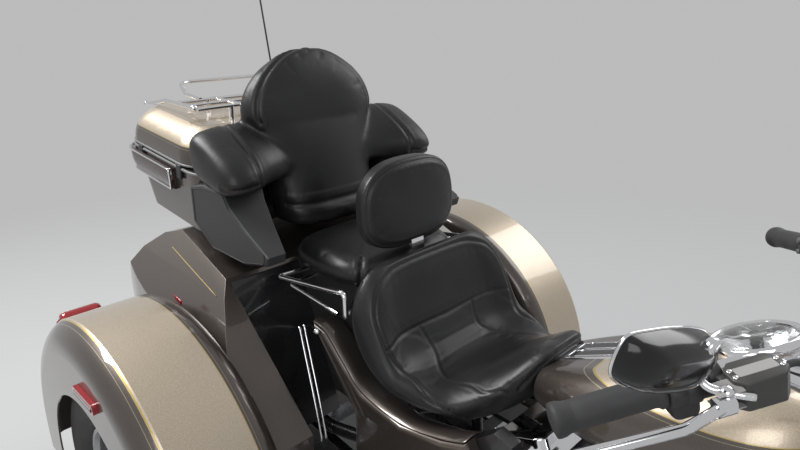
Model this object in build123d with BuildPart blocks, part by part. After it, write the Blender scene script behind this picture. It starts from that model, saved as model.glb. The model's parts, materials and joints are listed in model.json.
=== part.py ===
from build123d import *
from math import cos, radians, sin
import os

os.makedirs("parts", exist_ok=True)

# A motorized touring trike: one wheel in front, two behind, with a trunk between the
# rear fenders and a top box behind the passenger.
# Millimetres. Z is up from the floor, the front faces -Y and the rider's left is +X.
# The origin is on the floor, midway along the length.

# Stance
WHEELBASE, OVERHANG = 1670, 680
FRONT_TYRE_R, FRONT_TYRE_W, FRONT_RIM_R = 320, 130, 235
REAR_TYRE_R, REAR_TYRE_W, REAR_RIM_R = 324, 205, 190
REAR_AXLE_Y = 655
FRONT_AXLE_Y = REAR_AXLE_Y - WHEELBASE
REAR_END = REAR_AXLE_Y + OVERHANG

# Fits: a still joint, a running joint and the space beside a moving piece
SEAT = 0.3
RUN = 0.08
CLEAR = 5

# Steering
RAKE = 30
STEER_Y, STEER_Z = FRONT_AXLE_Y + 393, 900
LEG_X, LEG_R, SLIDER_R = 112, 24.5, 32
SLIDER_L, SLIDER_DROP = 340, 38
STEM_R, HEAD_R, HEAD_L = 15, 28, 140
CLAMP_T, CLAMP_WALL = 30, 18
FRONT_AXLE_R = 12.5
GRIP_IN = (331, STEER_Y + 232, STEER_Z + 129)
GRIP_OUT = (429, STEER_Y + 307, STEER_Z + 96)
BAR_R, GRIP_R = 12.7, 18.5

# Body
FENDER_Y, FENDER_Z, FENDER_R = REAR_AXLE_Y - 5, REAR_TYRE_R + 6, REAR_TYRE_R + 136
FENDER_OUT, FENDER_W, FENDER_WALL = 695, 256, 4
FENDER_IN = FENDER_OUT - FENDER_W
CROWN_IN, CROWN_OUT = FENDER_IN + 49, FENDER_OUT - 33
REAR_TRACK_HALF = FENDER_OUT - FENDER_W / 2
BODY_HALF = FENDER_IN - SEAT
SHOULDER_X, SHOULDER_Z = FENDER_IN - 61, 796


def side(x, y=0, z=0):
    """A plane facing the rider's left, whose own x runs back and own y runs up."""
    return Plane(origin=(x, y, z), x_dir=(0, 1, 0), z_dir=(1, 0, 0))


def across(y, z, angle):
    """A plane through a wheel's axle line, whose own y points out at an angle from the rear."""
    up = (0, -sin(radians(angle)), cos(radians(angle)))
    return Plane(origin=(0, y, z), x_dir=(1, 0, 0), z_dir=up)


def bar(points, radius, bend=30):
    """A round bar along straight runs joined by arcs."""
    with BuildPart() as run:
        with BuildLine() as path:
            if len(points) == 2:
                Line(*points)
            else:
                FilletPolyline(*points, radius=bend)
        with BuildSketch(Plane(origin=path.line @ 0, z_dir=path.line % 0)):
            Circle(radius)
        sweep()
    return run.part


def facing(y, z=0):
    """A plane square to the trike's length, whose own x runs to the left and own y runs up."""
    return Plane(origin=(0, y, z), x_dir=(-1, 0, 0), z_dir=(0, 1, 0))


def slab(outline, low, high):
    """A profile in side view, from one distance off the middle to another."""
    with BuildPart() as piece:
        with BuildSketch(side(low)):
            Polygon(*outline, align=None)
        extrude(amount=high - low)
    return piece.part


def ring(y, z, profile, start=0, arc=360):
    """A profile of (x, radius) points turned about a wheel's axle line."""
    with BuildPart() as piece:
        with BuildSketch(across(y, z, start)):
            Polygon(*profile, align=None)
        revolve(axis=Axis((0, y, z), (1, 0, 0)), revolution_arc=arc)
    return piece.part


def finish(piece, label):
    """Name a finished sub-part and write it."""
    piece.part.label = label
    export_step(piece.part, f"parts/{label}.step")


# Wheels

def make_tyre(x, y, z, radius, width, rim_r):
    """A tyre with a round shoulder, open to its rim."""
    shoulder = radius - 14
    bead = 0.36 * width
    with BuildPart() as tyre:
        with BuildSketch(across(y, z, 90)):
            with BuildLine():
                outer = ThreePointArc((x - 0.40 * width, shoulder), (x, radius), (x + 0.40 * width, shoulder))
                right = ThreePointArc(outer @ 1, (x + width / 2, (shoulder + rim_r) / 2), (x + bead, rim_r))
                Line(right @ 1, (x - bead, rim_r))
                ThreePointArc((x - bead, rim_r), (x - width / 2, (shoulder + rim_r) / 2), outer @ 0)
            make_face()
            with BuildLine():
                inner = ThreePointArc((x - 0.32 * width, shoulder - 12), (x, radius - 14),
                                      (x + 0.32 * width, shoulder - 12))
                down = ThreePointArc(inner @ 1, (x + 0.42 * width, (shoulder + rim_r) / 2),
                                     (x + 0.26 * width, rim_r - 1))
                Line(down @ 1, (x - 0.26 * width, rim_r - 1))
                ThreePointArc((x - 0.26 * width, rim_r - 1), (x - 0.42 * width, (shoulder + rim_r) / 2),
                              inner @ 0)
            make_face(mode=Mode.SUBTRACT)
        revolve(axis=Axis((0, y, z), (1, 0, 0)))
    return tyre


front_tyre = make_tyre(0, FRONT_AXLE_Y, FRONT_TYRE_R, FRONT_TYRE_R, FRONT_TYRE_W, FRONT_RIM_R)
finish(front_tyre, "front_tyre")

FRONT_HUB_R, FRONT_HUB_HALF = 34, 66
FRONT_DISC_R, FRONT_DISC_X, DISC_T = 145, 66, 5
FRONT_SPOKES, SPOKE_W = 9, 17
RIM_T = 8
rim_r = FRONT_RIM_R - SEAT
rim_half = 0.40 * FRONT_TYRE_W
with BuildPart() as front_wheel:
    add(ring(FRONT_AXLE_Y, FRONT_TYRE_R, [(-rim_half, rim_r), (rim_half, rim_r), (rim_half - 6, rim_r - RIM_T),
        (20, rim_r - 22), (-20, rim_r - 22), (6 - rim_half, rim_r - RIM_T)]))
    with BuildSketch(side(-FRONT_HUB_HALF, FRONT_AXLE_Y, FRONT_TYRE_R)):
        Circle(FRONT_HUB_R)
    extrude(amount=2 * FRONT_HUB_HALF)
    with BuildSketch(side(-14, FRONT_AXLE_Y, FRONT_TYRE_R)):
        with PolarLocations(0, FRONT_SPOKES):
            with Locations(((FRONT_HUB_R + rim_r) / 2 - 8, 0)):
                Rectangle(rim_r - FRONT_HUB_R - 8, SPOKE_W)
    extrude(amount=28)
    for x in (-FRONT_DISC_X, FRONT_DISC_X - DISC_T):
        with BuildSketch(side(x, FRONT_AXLE_Y, FRONT_TYRE_R)):
            Circle(FRONT_DISC_R)
            Circle(FRONT_DISC_R - 34, mode=Mode.SUBTRACT)
            with PolarLocations(0, 5):
                with Locations((FRONT_DISC_R / 2, 0)):
                    Rectangle(FRONT_DISC_R - 40, 16)
            Circle(FRONT_HUB_R)
        extrude(amount=DISC_T)
    with BuildSketch(side(-FRONT_HUB_HALF, FRONT_AXLE_Y, FRONT_TYRE_R)):
        Circle(FRONT_AXLE_R + RUN)
    extrude(amount=2 * FRONT_HUB_HALF, mode=Mode.SUBTRACT)
finish(front_wheel, "front_wheel")

STUB_R, REAR_HUB_R = 20, 46
REAR_HUB_IN, REAR_HUB_OUT = REAR_TRACK_HALF - 97, REAR_TRACK_HALF + 69
REAR_DISC_R, REAR_DISC_X = 140, REAR_HUB_IN + 4
REAR_SPOKES = 7


def make_rear_wheel(sign):
    """A cast wheel with its brake disc, on one end of the rear axle."""
    rim = REAR_RIM_R - SEAT
    low, high = REAR_TRACK_HALF - 0.36 * REAR_TYRE_W - 6, REAR_TRACK_HALF + 0.36 * REAR_TYRE_W + 6
    profile = [(low, rim), (high, rim), (high, rim - 10), (high - 12, rim - 14), (high - 60, rim - 16),
               (low, rim - 12)]
    with BuildPart() as wheel:
        add(ring(REAR_AXLE_Y, REAR_TYRE_R, [(sign * x, r) for x, r in profile]))
        with BuildSketch(side(sign * REAR_HUB_IN, REAR_AXLE_Y, REAR_TYRE_R)):
            Circle(REAR_HUB_R)
        extrude(amount=sign * (REAR_HUB_OUT - REAR_HUB_IN))
        with BuildSketch(side(sign * (high - 34), REAR_AXLE_Y, REAR_TYRE_R)):
            with PolarLocations(0, REAR_SPOKES):
                with Locations(((REAR_HUB_R + rim) / 2 - 6, 0)):
                    Rectangle(rim - REAR_HUB_R, 30)
        extrude(amount=sign * 24)
        with BuildSketch(side(sign * REAR_DISC_X, REAR_AXLE_Y, REAR_TYRE_R)):
            Circle(REAR_DISC_R)
        extrude(amount=sign * DISC_T)
        with BuildSketch(side(sign * REAR_HUB_IN, REAR_AXLE_Y, REAR_TYRE_R)):
            Circle(STUB_R + RUN)
        extrude(amount=sign * (REAR_HUB_OUT - REAR_HUB_IN - 12), mode=Mode.SUBTRACT)
    return wheel


for name, sign in (("right", -1), ("left", 1)):
    rear_tyre = make_tyre(sign * REAR_TRACK_HALF, REAR_AXLE_Y, REAR_TYRE_R, REAR_TYRE_R, REAR_TYRE_W,
                          REAR_RIM_R)
    finish(rear_tyre, f"{name}_rear_tyre")
    finish(make_rear_wheel(sign), f"{name}_rear_wheel")

# Fork, which turns about the raked steering axis

steer_up = Vector(0, sin(radians(RAKE)), cos(radians(RAKE)))
fork = Plane(origin=(0, STEER_Y, STEER_Z), x_dir=(1, 0, 0), z_dir=steer_up)
axle_at = fork.to_local_coords(Vector(0, FRONT_AXLE_Y, FRONT_TYRE_R))
UPPER_CLAMP = 0
HEAD_TOP = UPPER_CLAMP - CLEAR
LOWER_CLAMP = HEAD_TOP - HEAD_L - CLEAR - CLAMP_T
leg_spots = [(-LEG_X, axle_at.Y), (LEG_X, axle_at.Y)]
slider_low = axle_at.Z - SLIDER_DROP


def clamp_outline(extra):
    """The shape of a fork clamp, seen along the steering axis."""
    with BuildSketch() as outline:
        Circle(HEAD_R + extra)
        with Locations(*leg_spots):
            Circle(LEG_R + CLAMP_WALL + extra)
        make_hull()
    return outline.sketch


with BuildPart() as front_fork:
    with BuildSketch(fork.offset(slider_low)):
        with Locations(*leg_spots):
            Circle(SLIDER_R)
    extrude(amount=SLIDER_L)
    with BuildSketch(fork.offset(slider_low + SLIDER_L)):
        with Locations(*leg_spots):
            Circle(LEG_R)
    extrude(amount=UPPER_CLAMP + CLAMP_T + 8 - slider_low - SLIDER_L)
    for low in (LOWER_CLAMP, UPPER_CLAMP):
        with BuildSketch(fork.offset(low)):
            add(clamp_outline(0))
        extrude(amount=CLAMP_T)
    with BuildSketch(fork.offset(LOWER_CLAMP)):
        Circle(STEM_R)
    extrude(amount=UPPER_CLAMP + CLAMP_T - LOWER_CLAMP)
    with BuildSketch(side(-LEG_X - SLIDER_R, FRONT_AXLE_Y, FRONT_TYRE_R)):
        Circle(FRONT_AXLE_R + SEAT)
    extrude(amount=2 * (LEG_X + SLIDER_R), mode=Mode.SUBTRACT)
finish(front_fork, "front_fork")

AXLE_HALF = LEG_X + SLIDER_R + 8
with BuildPart() as front_axle:
    with BuildSketch(side(-AXLE_HALF, FRONT_AXLE_Y, FRONT_TYRE_R)):
        Circle(FRONT_AXLE_R)
    extrude(amount=2 * AXLE_HALF)
    for x in (-AXLE_HALF, AXLE_HALF - 7):
        with BuildSketch(side(x, FRONT_AXLE_Y, FRONT_TYRE_R)):
            RegularPolygon(FRONT_AXLE_R + 8, 6)
        extrude(amount=7)
finish(front_axle, "front_axle")

# A caliper grips each front disc from behind the leg, on a lug of the slider
CALIPER_ANGLE, CALIPER_L, CALIPER_H = 30, 96, 52
caliper_in = FRONT_DISC_X - DISC_T - CLEAR - 14
caliper_out = LEG_X - 4
caliper_mid = FRONT_DISC_R - 14
with BuildPart() as front_calipers:
    spot = Plane(origin=(caliper_in, FRONT_AXLE_Y, FRONT_TYRE_R), x_dir=(0, cos(radians(CALIPER_ANGLE)),
                 sin(radians(CALIPER_ANGLE))), z_dir=(1, 0, 0))
    with BuildSketch(spot):
        with Locations((caliper_mid + 8, 0)):
            RectangleRounded(CALIPER_H, CALIPER_L, 14)
    extrude(amount=caliper_out - caliper_in)
    with BuildSketch(side(FRONT_DISC_X - DISC_T - CLEAR, FRONT_AXLE_Y, FRONT_TYRE_R)):
        Circle(FRONT_DISC_R + CLEAR)
    extrude(amount=DISC_T + 2 * CLEAR, mode=Mode.SUBTRACT)
    with BuildSketch(side(caliper_out - 16, FRONT_AXLE_Y, FRONT_TYRE_R)):
        with Locations((60, 40)):
            Rectangle(90, 26, rotation=CALIPER_ANGLE)
    extrude(amount=16)
    with BuildSketch(fork.offset(slider_low)):
        with Locations(*leg_spots):
            Circle(SLIDER_R + SEAT)
    extrude(amount=SLIDER_L, mode=Mode.SUBTRACT)
    mirror(about=Plane.YZ)
finish(front_calipers, "front_calipers")

# The front fender, a round-topped shell held between the sliders
FRONT_GUARD_R, FRONT_GUARD_HALF = FRONT_TYRE_R + 20, LEG_X - SLIDER_R - SEAT
guard_wall = 3
with BuildPart() as front_fender:
    with BuildSketch(across(FRONT_AXLE_Y, FRONT_TYRE_R, -12)):
        with BuildLine():
            outer = ThreePointArc((-FRONT_GUARD_HALF, FRONT_GUARD_R - 42), (0, FRONT_GUARD_R),
                                  (FRONT_GUARD_HALF, FRONT_GUARD_R - 42))
            Line(outer @ 1, (FRONT_GUARD_HALF, FRONT_GUARD_R - 110))
            Line((FRONT_GUARD_HALF, FRONT_GUARD_R - 110), (FRONT_GUARD_HALF - guard_wall, FRONT_GUARD_R - 110))
            Line((FRONT_GUARD_HALF - guard_wall, FRONT_GUARD_R - 110),
                 (FRONT_GUARD_HALF - guard_wall, FRONT_GUARD_R - 44))
            ThreePointArc((FRONT_GUARD_HALF - guard_wall, FRONT_GUARD_R - 44), (0, FRONT_GUARD_R - guard_wall),
                          (guard_wall - FRONT_GUARD_HALF, FRONT_GUARD_R - 44))
            Line((guard_wall - FRONT_GUARD_HALF, FRONT_GUARD_R - 44),
                 (guard_wall - FRONT_GUARD_HALF, FRONT_GUARD_R - 110))
            Line((guard_wall - FRONT_GUARD_HALF, FRONT_GUARD_R - 110), (-FRONT_GUARD_HALF, FRONT_GUARD_R - 110))
            Line((-FRONT_GUARD_HALF, FRONT_GUARD_R - 110), outer @ 0)
        make_face()
    revolve(axis=Axis((0, FRONT_AXLE_Y, FRONT_TYRE_R), (1, 0, 0)), revolution_arc=165)
    with BuildSketch(fork.offset(slider_low)):
        with Locations(*leg_spots):
            Circle(SLIDER_R + SEAT)
    extrude(amount=SLIDER_L + 200, mode=Mode.SUBTRACT)
finish(front_fender, "front_fender")

# Headlamp shell on the upper clamp, with a cover round each leg between the clamps
LAMP_R, LAMP_Y, LAMP_Z = 92, STEER_Y - 216, STEER_Z - 28
SHELL_L, SHELL_T, LENS_DEEP = 112, 4, 30
COVER_T = 9
with BuildPart() as headlight_nacelle:
    with BuildSketch(facing(LAMP_Y, LAMP_Z)):
        Circle(LAMP_R)
    extrude(amount=SHELL_L)
    fillet(headlight_nacelle.edges().sort_by(Axis.Y)[-1], 48)
    add(slab([(LAMP_Y + 40, LAMP_Z + 30), (STEER_Y - 60, LAMP_Z + 30), (STEER_Y - 20, LAMP_Z + 98),
              (LAMP_Y + 70, LAMP_Z + 84)], -44, 44))
    with BuildSketch(facing(LAMP_Y, LAMP_Z)):
        Circle(LAMP_R - SHELL_T)
    extrude(amount=LENS_DEEP, mode=Mode.SUBTRACT)
    with BuildSketch(fork.offset(LOWER_CLAMP + CLAMP_T + 1)):
        with Locations(*leg_spots):
            Circle(LEG_R + SEAT + COVER_T)
    extrude(amount=UPPER_CLAMP - LOWER_CLAMP - CLAMP_T - 2)
    with BuildSketch(fork.offset(LOWER_CLAMP + CLAMP_T)):
        with Locations(*leg_spots):
            Circle(LEG_R + SEAT)
        Circle(HEAD_R + 3 * CLEAR)
    extrude(amount=UPPER_CLAMP - LOWER_CLAMP - CLAMP_T, mode=Mode.SUBTRACT)
    with BuildSketch(fork.offset(UPPER_CLAMP - SEAT)):
        add(clamp_outline(SEAT))
    extrude(amount=160, mode=Mode.SUBTRACT)
    with BuildSketch(fork.offset(LOWER_CLAMP - SEAT)):
        add(clamp_outline(SEAT))
    extrude(amount=CLAMP_T + 2 * SEAT, mode=Mode.SUBTRACT)
finish(headlight_nacelle, "headlight_nacelle")

with BuildPart() as headlamp_lens:
    with BuildSketch(facing(LAMP_Y - 9, LAMP_Z)):
        Circle(LAMP_R - SHELL_T - SEAT)
    extrude(amount=LENS_DEEP + 9)
    fillet(headlamp_lens.edges().sort_by(Axis.Y)[0], 8)
finish(headlamp_lens, "headlamp_lens")

# A bar ahead of the lower clamp carries two round lamps and the turn lamps
SPOT_X, SPOT_Y, SPOT_Z, SPOT_R, SPOT_L = 210, STEER_Y - 272, STEER_Z - 158, 58, 84
TURN_X, TURN_R, TURN_L = 312, 30, 46
LIGHT_BAR_R = 9
CAN_T, CAN_DEEP = 3, 14
lamp_rows = [(SPOT_X, SPOT_R, SPOT_L), (TURN_X, TURN_R, TURN_L)]
clamp_front = fork.from_local_coords(Vector(0, axle_at.Y - HEAD_R, LOWER_CLAMP + CLAMP_T / 2))


def lamp_can(x, radius, length):
    """A round lamp body with a domed back."""
    with BuildPart() as can:
        with BuildSketch(facing(SPOT_Y + SPOT_L - length, SPOT_Z)):
            with Locations((x, 0)):
                Circle(radius)
        extrude(amount=length)
        fillet(can.edges().sort_by(Axis.Y)[-1], radius * 0.6)
    return can.part


with BuildPart() as light_bar:
    add(bar([(-TURN_X, SPOT_Y + 70, SPOT_Z), (TURN_X, SPOT_Y + 70, SPOT_Z)], LIGHT_BAR_R))
    add(slab([(SPOT_Y + 64, SPOT_Z - 7), (SPOT_Y + 64, SPOT_Z + 7), (clamp_front.Y + 20, clamp_front.Z + 12),
              (clamp_front.Y + 20, clamp_front.Z - 10)], -26, 26))
    with BuildSketch(facing(LAMP_Y - 1, LAMP_Z)):
        Circle(LAMP_R + SEAT)
    extrude(amount=SHELL_L, mode=Mode.SUBTRACT)
    for x, radius, length in lamp_rows:
        add(lamp_can(-x, radius, length))
        add(lamp_can(x, radius, length))
        with BuildSketch(facing(SPOT_Y + SPOT_L - length, SPOT_Z)):
            with Locations((-x, 0), (x, 0)):
                Circle(radius - CAN_T)
        extrude(amount=CAN_DEEP, mode=Mode.SUBTRACT)
    with BuildSketch(fork.offset(LOWER_CLAMP - SEAT)):
        add(clamp_outline(SEAT))
    extrude(amount=CLAMP_T + 2 * SEAT, mode=Mode.SUBTRACT)
finish(light_bar, "light_bar")

for name, row in (("spot_lenses", 0), ("front_turn_lenses", 1)):
    x, radius, length = lamp_rows[row]
    with BuildPart() as lenses:
        with BuildSketch(facing(SPOT_Y + SPOT_L - length - 5, SPOT_Z)):
            with Locations((-x, 0), (x, 0)):
                Circle(radius - CAN_T - SEAT)
        extrude(amount=CAN_DEEP + 5)
        fillet(lenses.edges().group_by(Axis.Y)[0], 7)
    finish(lenses, name)

# Handlebar: risers on the upper clamp, then out and back to the grips
BAR_MID = fork.from_local_coords(Vector(0, 14, UPPER_CLAMP + CLAMP_T + 62))
RISER_X, RISER_R = 42, 17
grip_run = Vector(*GRIP_OUT) - Vector(*GRIP_IN)
grip_dir = grip_run.normalized()
bar_elbow = Vector(*GRIP_IN) - grip_dir * 120
with BuildPart() as handlebar:
    for s in (1, -1):
        route = [BAR_MID, (s * 105, BAR_MID.Y, BAR_MID.Z), bar_elbow, Vector(*GRIP_OUT)]
        points = [(s * abs(Vector(p).X), Vector(p).Y, Vector(p).Z) for p in route]
        add(bar(points, BAR_R, 46))
    with BuildSketch(fork.offset(UPPER_CLAMP + CLAMP_T + SEAT)):
        with Locations((-RISER_X, 14), (RISER_X, 14)):
            Circle(RISER_R)
    extrude(amount=62 + BAR_R)
finish(handlebar, "handlebar")


def along(origin, direction, shift=0):
    """A plane square to a line, some way along it, whose own y points up."""
    run = Vector(*direction).normalized()
    flat = Vector(0, 0, 1).cross(run).normalized()
    return Plane(origin=Vector(*origin) + run * shift, x_dir=flat, z_dir=run)


GRIP_L = grip_run.length
with BuildPart() as grips:
    with BuildSketch(along(GRIP_IN, grip_run)):
        Circle(GRIP_R)
    extrude(amount=GRIP_L + 6)
    with BuildSketch(along(GRIP_IN, grip_run)):
        Circle(GRIP_R + 3)
    extrude(amount=7)
    with BuildSketch(along(GRIP_IN, grip_run)):
        Circle(BAR_R + SEAT)
    extrude(amount=GRIP_L + SEAT, mode=Mode.SUBTRACT)
    mirror(about=Plane.YZ)
finish(grips, "grips")

# Inboard of each grip: a switch block round the bar, then the clamp with the fluid reservoir
SWITCH_L, SWITCH_R, PERCH_L, PERCH_R = 44, 27, 26, 21
LEVER_L, LEVER_DROP, LEVER_OUT = 190, 26, 44
RESERVOIR = (92, 52, 40)
front_dir = grip_dir.cross(Vector(0, 0, 1)).normalized()
with BuildPart() as hand_controls:
    with BuildSketch(along(GRIP_IN, grip_run, -SEAT)):
        RectangleRounded(2 * SWITCH_R, 2 * SWITCH_R + 14, 16)
    extrude(amount=-SWITCH_L)
    with BuildSketch(along(GRIP_IN, grip_run, -SWITCH_L - 4)):
        Circle(PERCH_R)
    extrude(amount=-PERCH_L)
    with BuildSketch(along(GRIP_IN, grip_run, -SWITCH_L - 4)):
        with Locations((-LEVER_OUT / 2, 0)):
            Rectangle(LEVER_OUT, 22)
    extrude(amount=-PERCH_L)
    with BuildSketch(along(GRIP_IN, grip_run, -SWITCH_L - 4)):
        with Locations((0, PERCH_R + RESERVOIR[2] / 2 - 6)):
            RectangleRounded(RESERVOIR[1], RESERVOIR[2], 9)
    extrude(amount=-RESERVOIR[0])
    with BuildSketch(along(GRIP_IN, grip_run, 1)):
        Circle(BAR_R + SEAT)
    extrude(amount=-RESERVOIR[0] - SWITCH_L - 60, mode=Mode.SUBTRACT)
    mirror(about=Plane.YZ)
finish(hand_controls, "hand_controls")

with BuildPart() as hand_levers:
    start = Vector(*GRIP_IN) + grip_dir * (-SWITCH_L - 6) + front_dir * (LEVER_OUT + 9 + SEAT)
    knee = start + grip_dir * 58 + front_dir * 16
    tip = knee + grip_dir * (LEVER_L - 50) - front_dir * 10
    add(bar([start, knee, tip], 7, 30))
    with BuildSketch(along(start, grip_run, -8)):
        RectangleRounded(18, 20, 5)
    extrude(amount=22)
    with Locations(tip):
        Sphere(9)
    mirror(about=Plane.YZ)
finish(hand_levers, "hand_levers")

# Mirrors: a teardrop head on a rod from the perch
MIRROR_AT = Vector(-432, STEER_Y + 204, STEER_Z + 218)
MIRROR_W, MIRROR_H, MIRROR_T = 158, 96, 34
mirror_face = Plane(origin=MIRROR_AT, x_dir=(1, 0, 0.0), z_dir=Vector(0.22, 0.95, 0.1))
perch = Vector(*GRIP_IN) + grip_dir * (-SWITCH_L - 4 - PERCH_L / 2)
perch_right = Vector(-perch.X, perch.Y, perch.Z)
with BuildPart() as mirrors:
    with BuildSketch(mirror_face):
        Ellipse(MIRROR_W / 2, MIRROR_H / 2)
    with BuildSketch(mirror_face.offset(-MIRROR_T * 0.6)):
        Ellipse(MIRROR_W / 2 * 0.88, MIRROR_H / 2 * 0.84)
    with BuildSketch(mirror_face.offset(-MIRROR_T)):
        Ellipse(MIRROR_W / 2 * 0.5, MIRROR_H / 2 * 0.46)
    loft()
    stem_top = mirror_face.from_local_coords(Vector(30, -MIRROR_H / 2 + 16, -MIRROR_T / 2))
    stem_low = perch_right + Vector(0, -6, RESERVOIR[2] + PERCH_R - 4)
    add(bar([stem_low, perch_right + Vector(-12, -18, 72), stem_top], 5.5, 14))
    mirror(about=Plane.YZ)
    add(hand_controls.part, mode=Mode.SUBTRACT)
finish(mirrors, "mirrors")

# Frame: a head tube, a spine under the tank and a double cradle

TUBE_R, SPINE_R = 16, 26
CRADLE_X, CRADLE_Z, CRADLE_FRONT, CRADLE_REAR = 130, 165, -505, 190
SPINE_END = Vector(0, -10, 678)
PIVOT_Y, PIVOT_Z, PIVOT_R = 150, 300, 22
FLOOR_Z, FLOOR_LOW_Z = 450, 365
RAIL_X, RAIL_Z = 200, FLOOR_Z - SEAT - TUBE_R
head_mid = fork.from_local_coords(Vector(0, 0, HEAD_TOP - 50))
head_low = fork.from_local_coords(Vector(0, 30, HEAD_TOP - HEAD_L + 55))
with BuildPart() as frame:
    with BuildSketch(fork.offset(HEAD_TOP)):
        Circle(HEAD_R)
    extrude(amount=-HEAD_L)
    add(bar([head_mid, SPINE_END], SPINE_R))
    for s in (-1, 1):
        add(bar([(s * 12, head_low.Y, head_low.Z), (s * CRADLE_X, CRADLE_FRONT, CRADLE_Z),
                 (s * CRADLE_X, CRADLE_REAR, CRADLE_Z), (s * CRADLE_X, CRADLE_REAR + 35, 560),
                 (s * 12, SPINE_END.Y, SPINE_END.Z - 16)], TUBE_R, 50))
        add(bar([(s * CRADLE_X, CRADLE_REAR + 22, RAIL_Z), (s * RAIL_X, 420, RAIL_Z),
                 (s * RAIL_X, REAR_AXLE_Y + 145, RAIL_Z)], TUBE_R, 60))
        low, high = sorted((s * (CRADLE_X - 12), s * (CRADLE_X - 4)))
        add(slab([(PIVOT_Y - 34, PIVOT_Z - 34), (CRADLE_REAR + 12, PIVOT_Z - 34),
                  (CRADLE_REAR + 16, PIVOT_Z + 34), (PIVOT_Y - 34, PIVOT_Z + 34)], low, high))
    with BuildSketch(side(-CRADLE_X, PIVOT_Y, PIVOT_Z)):
        Circle(PIVOT_R + SEAT)
    extrude(amount=2 * CRADLE_X, mode=Mode.SUBTRACT)
    with BuildSketch(fork.offset(HEAD_TOP + 1)):
        Circle(STEM_R + RUN)
    extrude(amount=-HEAD_L - 2, mode=Mode.SUBTRACT)
finish(frame, "frame")

# Swing arm and rear axle
ARM_IN, ARM_OUT, AXLE_TUBE_R = 156, 182, 36
AXLE_TUBE_HALF, STUB_END = REAR_HUB_IN - 14, REAR_HUB_OUT - 14
with BuildPart() as swingarm:
    with BuildSketch(side(-ARM_OUT, PIVOT_Y, PIVOT_Z)):
        Circle(PIVOT_R)
    extrude(amount=2 * ARM_OUT)
    for low, high in ((-ARM_OUT, -ARM_IN), (ARM_IN, ARM_OUT)):
        with BuildSketch(side(low)):
            with Locations((PIVOT_Y, PIVOT_Z)):
                Circle(PIVOT_R + 9)
            with Locations((REAR_AXLE_Y, REAR_TYRE_R)):
                Circle(AXLE_TUBE_R + 14)
            make_hull()
        extrude(amount=high - low)
    with BuildSketch(side(-ARM_OUT, REAR_AXLE_Y, REAR_TYRE_R)):
        Circle(AXLE_TUBE_R + SEAT)
    extrude(amount=2 * ARM_OUT, mode=Mode.SUBTRACT)
finish(swingarm, "swingarm")

GEAR_R, GEAR_HALF = 88, 66
with BuildPart() as rear_axle:
    with BuildSketch(side(-AXLE_TUBE_HALF, REAR_AXLE_Y, REAR_TYRE_R)):
        Circle(AXLE_TUBE_R)
    extrude(amount=2 * AXLE_TUBE_HALF)
    with BuildSketch(side(-STUB_END, REAR_AXLE_Y, REAR_TYRE_R)):
        Circle(STUB_R)
    extrude(amount=2 * STUB_END)
    with BuildSketch(side(-GEAR_HALF, REAR_AXLE_Y, REAR_TYRE_R)):
        Circle(GEAR_R)
    extrude(amount=2 * GEAR_HALF)
    fillet(rear_axle.edges().filter_by(GeomType.CIRCLE).filter_by(lambda e: abs(e.radius - GEAR_R) < 0.1), 26)
    for s in (-1, 1):
        with BuildSketch(side(s * AXLE_TUBE_HALF, REAR_AXLE_Y, REAR_TYRE_R)):
            Circle(58)
            with Locations((-90, 40)):
                Rectangle(110, 60)
        extrude(amount=s * 7)
        with BuildSketch(side(s * (AXLE_TUBE_HALF + 6), REAR_AXLE_Y, REAR_TYRE_R)):
            with Locations((-122, 50)):
                RectangleRounded(48, 88, 12)
        extrude(amount=s * 34)
        with BuildSketch(side(s * (REAR_DISC_X - CLEAR), REAR_AXLE_Y, REAR_TYRE_R)):
            Circle(REAR_DISC_R + CLEAR)
            Circle(STUB_R, mode=Mode.SUBTRACT)
        extrude(amount=s * (DISC_T + 2 * CLEAR), mode=Mode.SUBTRACT)
finish(rear_axle, "rear_axle")

# Drive belt with its two pulleys, on the left of the gearbox
BELT_X, BELT_W, BELT_T = 84, 28, 5
DRIVE_Y, DRIVE_Z, DRIVE_R, DRIVEN_R = 50, 312, 42, 96
with BuildPart() as drive_belt:
    for grow, mode in ((BELT_T, Mode.ADD), (0, Mode.SUBTRACT)):
        with BuildSketch(side(BELT_X)):
            with Locations((DRIVE_Y, DRIVE_Z)):
                Circle(DRIVE_R + grow)
            with Locations((REAR_AXLE_Y, REAR_TYRE_R)):
                Circle(DRIVEN_R + grow)
            make_hull()
        extrude(amount=BELT_W, mode=mode)
    with BuildSketch(side(BELT_X)):
        with Locations((DRIVE_Y, DRIVE_Z)):
            Circle(DRIVE_R)
        with Locations((REAR_AXLE_Y, REAR_TYRE_R)):
            Circle(DRIVEN_R)
    extrude(amount=BELT_W)
    with BuildSketch(side(BELT_X, REAR_AXLE_Y, REAR_TYRE_R)):
        Circle(AXLE_TUBE_R + SEAT)
    extrude(amount=BELT_W, mode=Mode.SUBTRACT)
finish(drive_belt, "drive_belt")

# Engine: a V of two air-cooled cylinders on one crankcase, with the gearbox behind
CRANK_Y, CRANK_Z, CASE_R, CASE_HALF = -195, 300, 115, 82
V_HALF = 22.5
BARREL_TOP, HEAD_TOP_Z, ROCKER_TOP = 236, 296, 356
with BuildPart() as engine_cases:
    with BuildSketch(side(-CASE_HALF)):
        with Locations((CRANK_Y, CRANK_Z)):
            Circle(CASE_R)
        Polygon((CRANK_Y, 196), (84, 206), (104, 236), (104, 380), (60, 412), (-90, 412), align=None)
    extrude(amount=2 * CASE_HALF)
    with BuildSketch(side(CASE_HALF, CRANK_Y, CRANK_Z)):
        Circle(92)
    extrude(amount=34)
    with BuildSketch(side(CASE_HALF, DRIVE_Y, DRIVE_Z)):
        Circle(18)
    extrude(amount=BELT_X - CASE_HALF - SEAT)
finish(engine_cases, "engine_cases")

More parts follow.
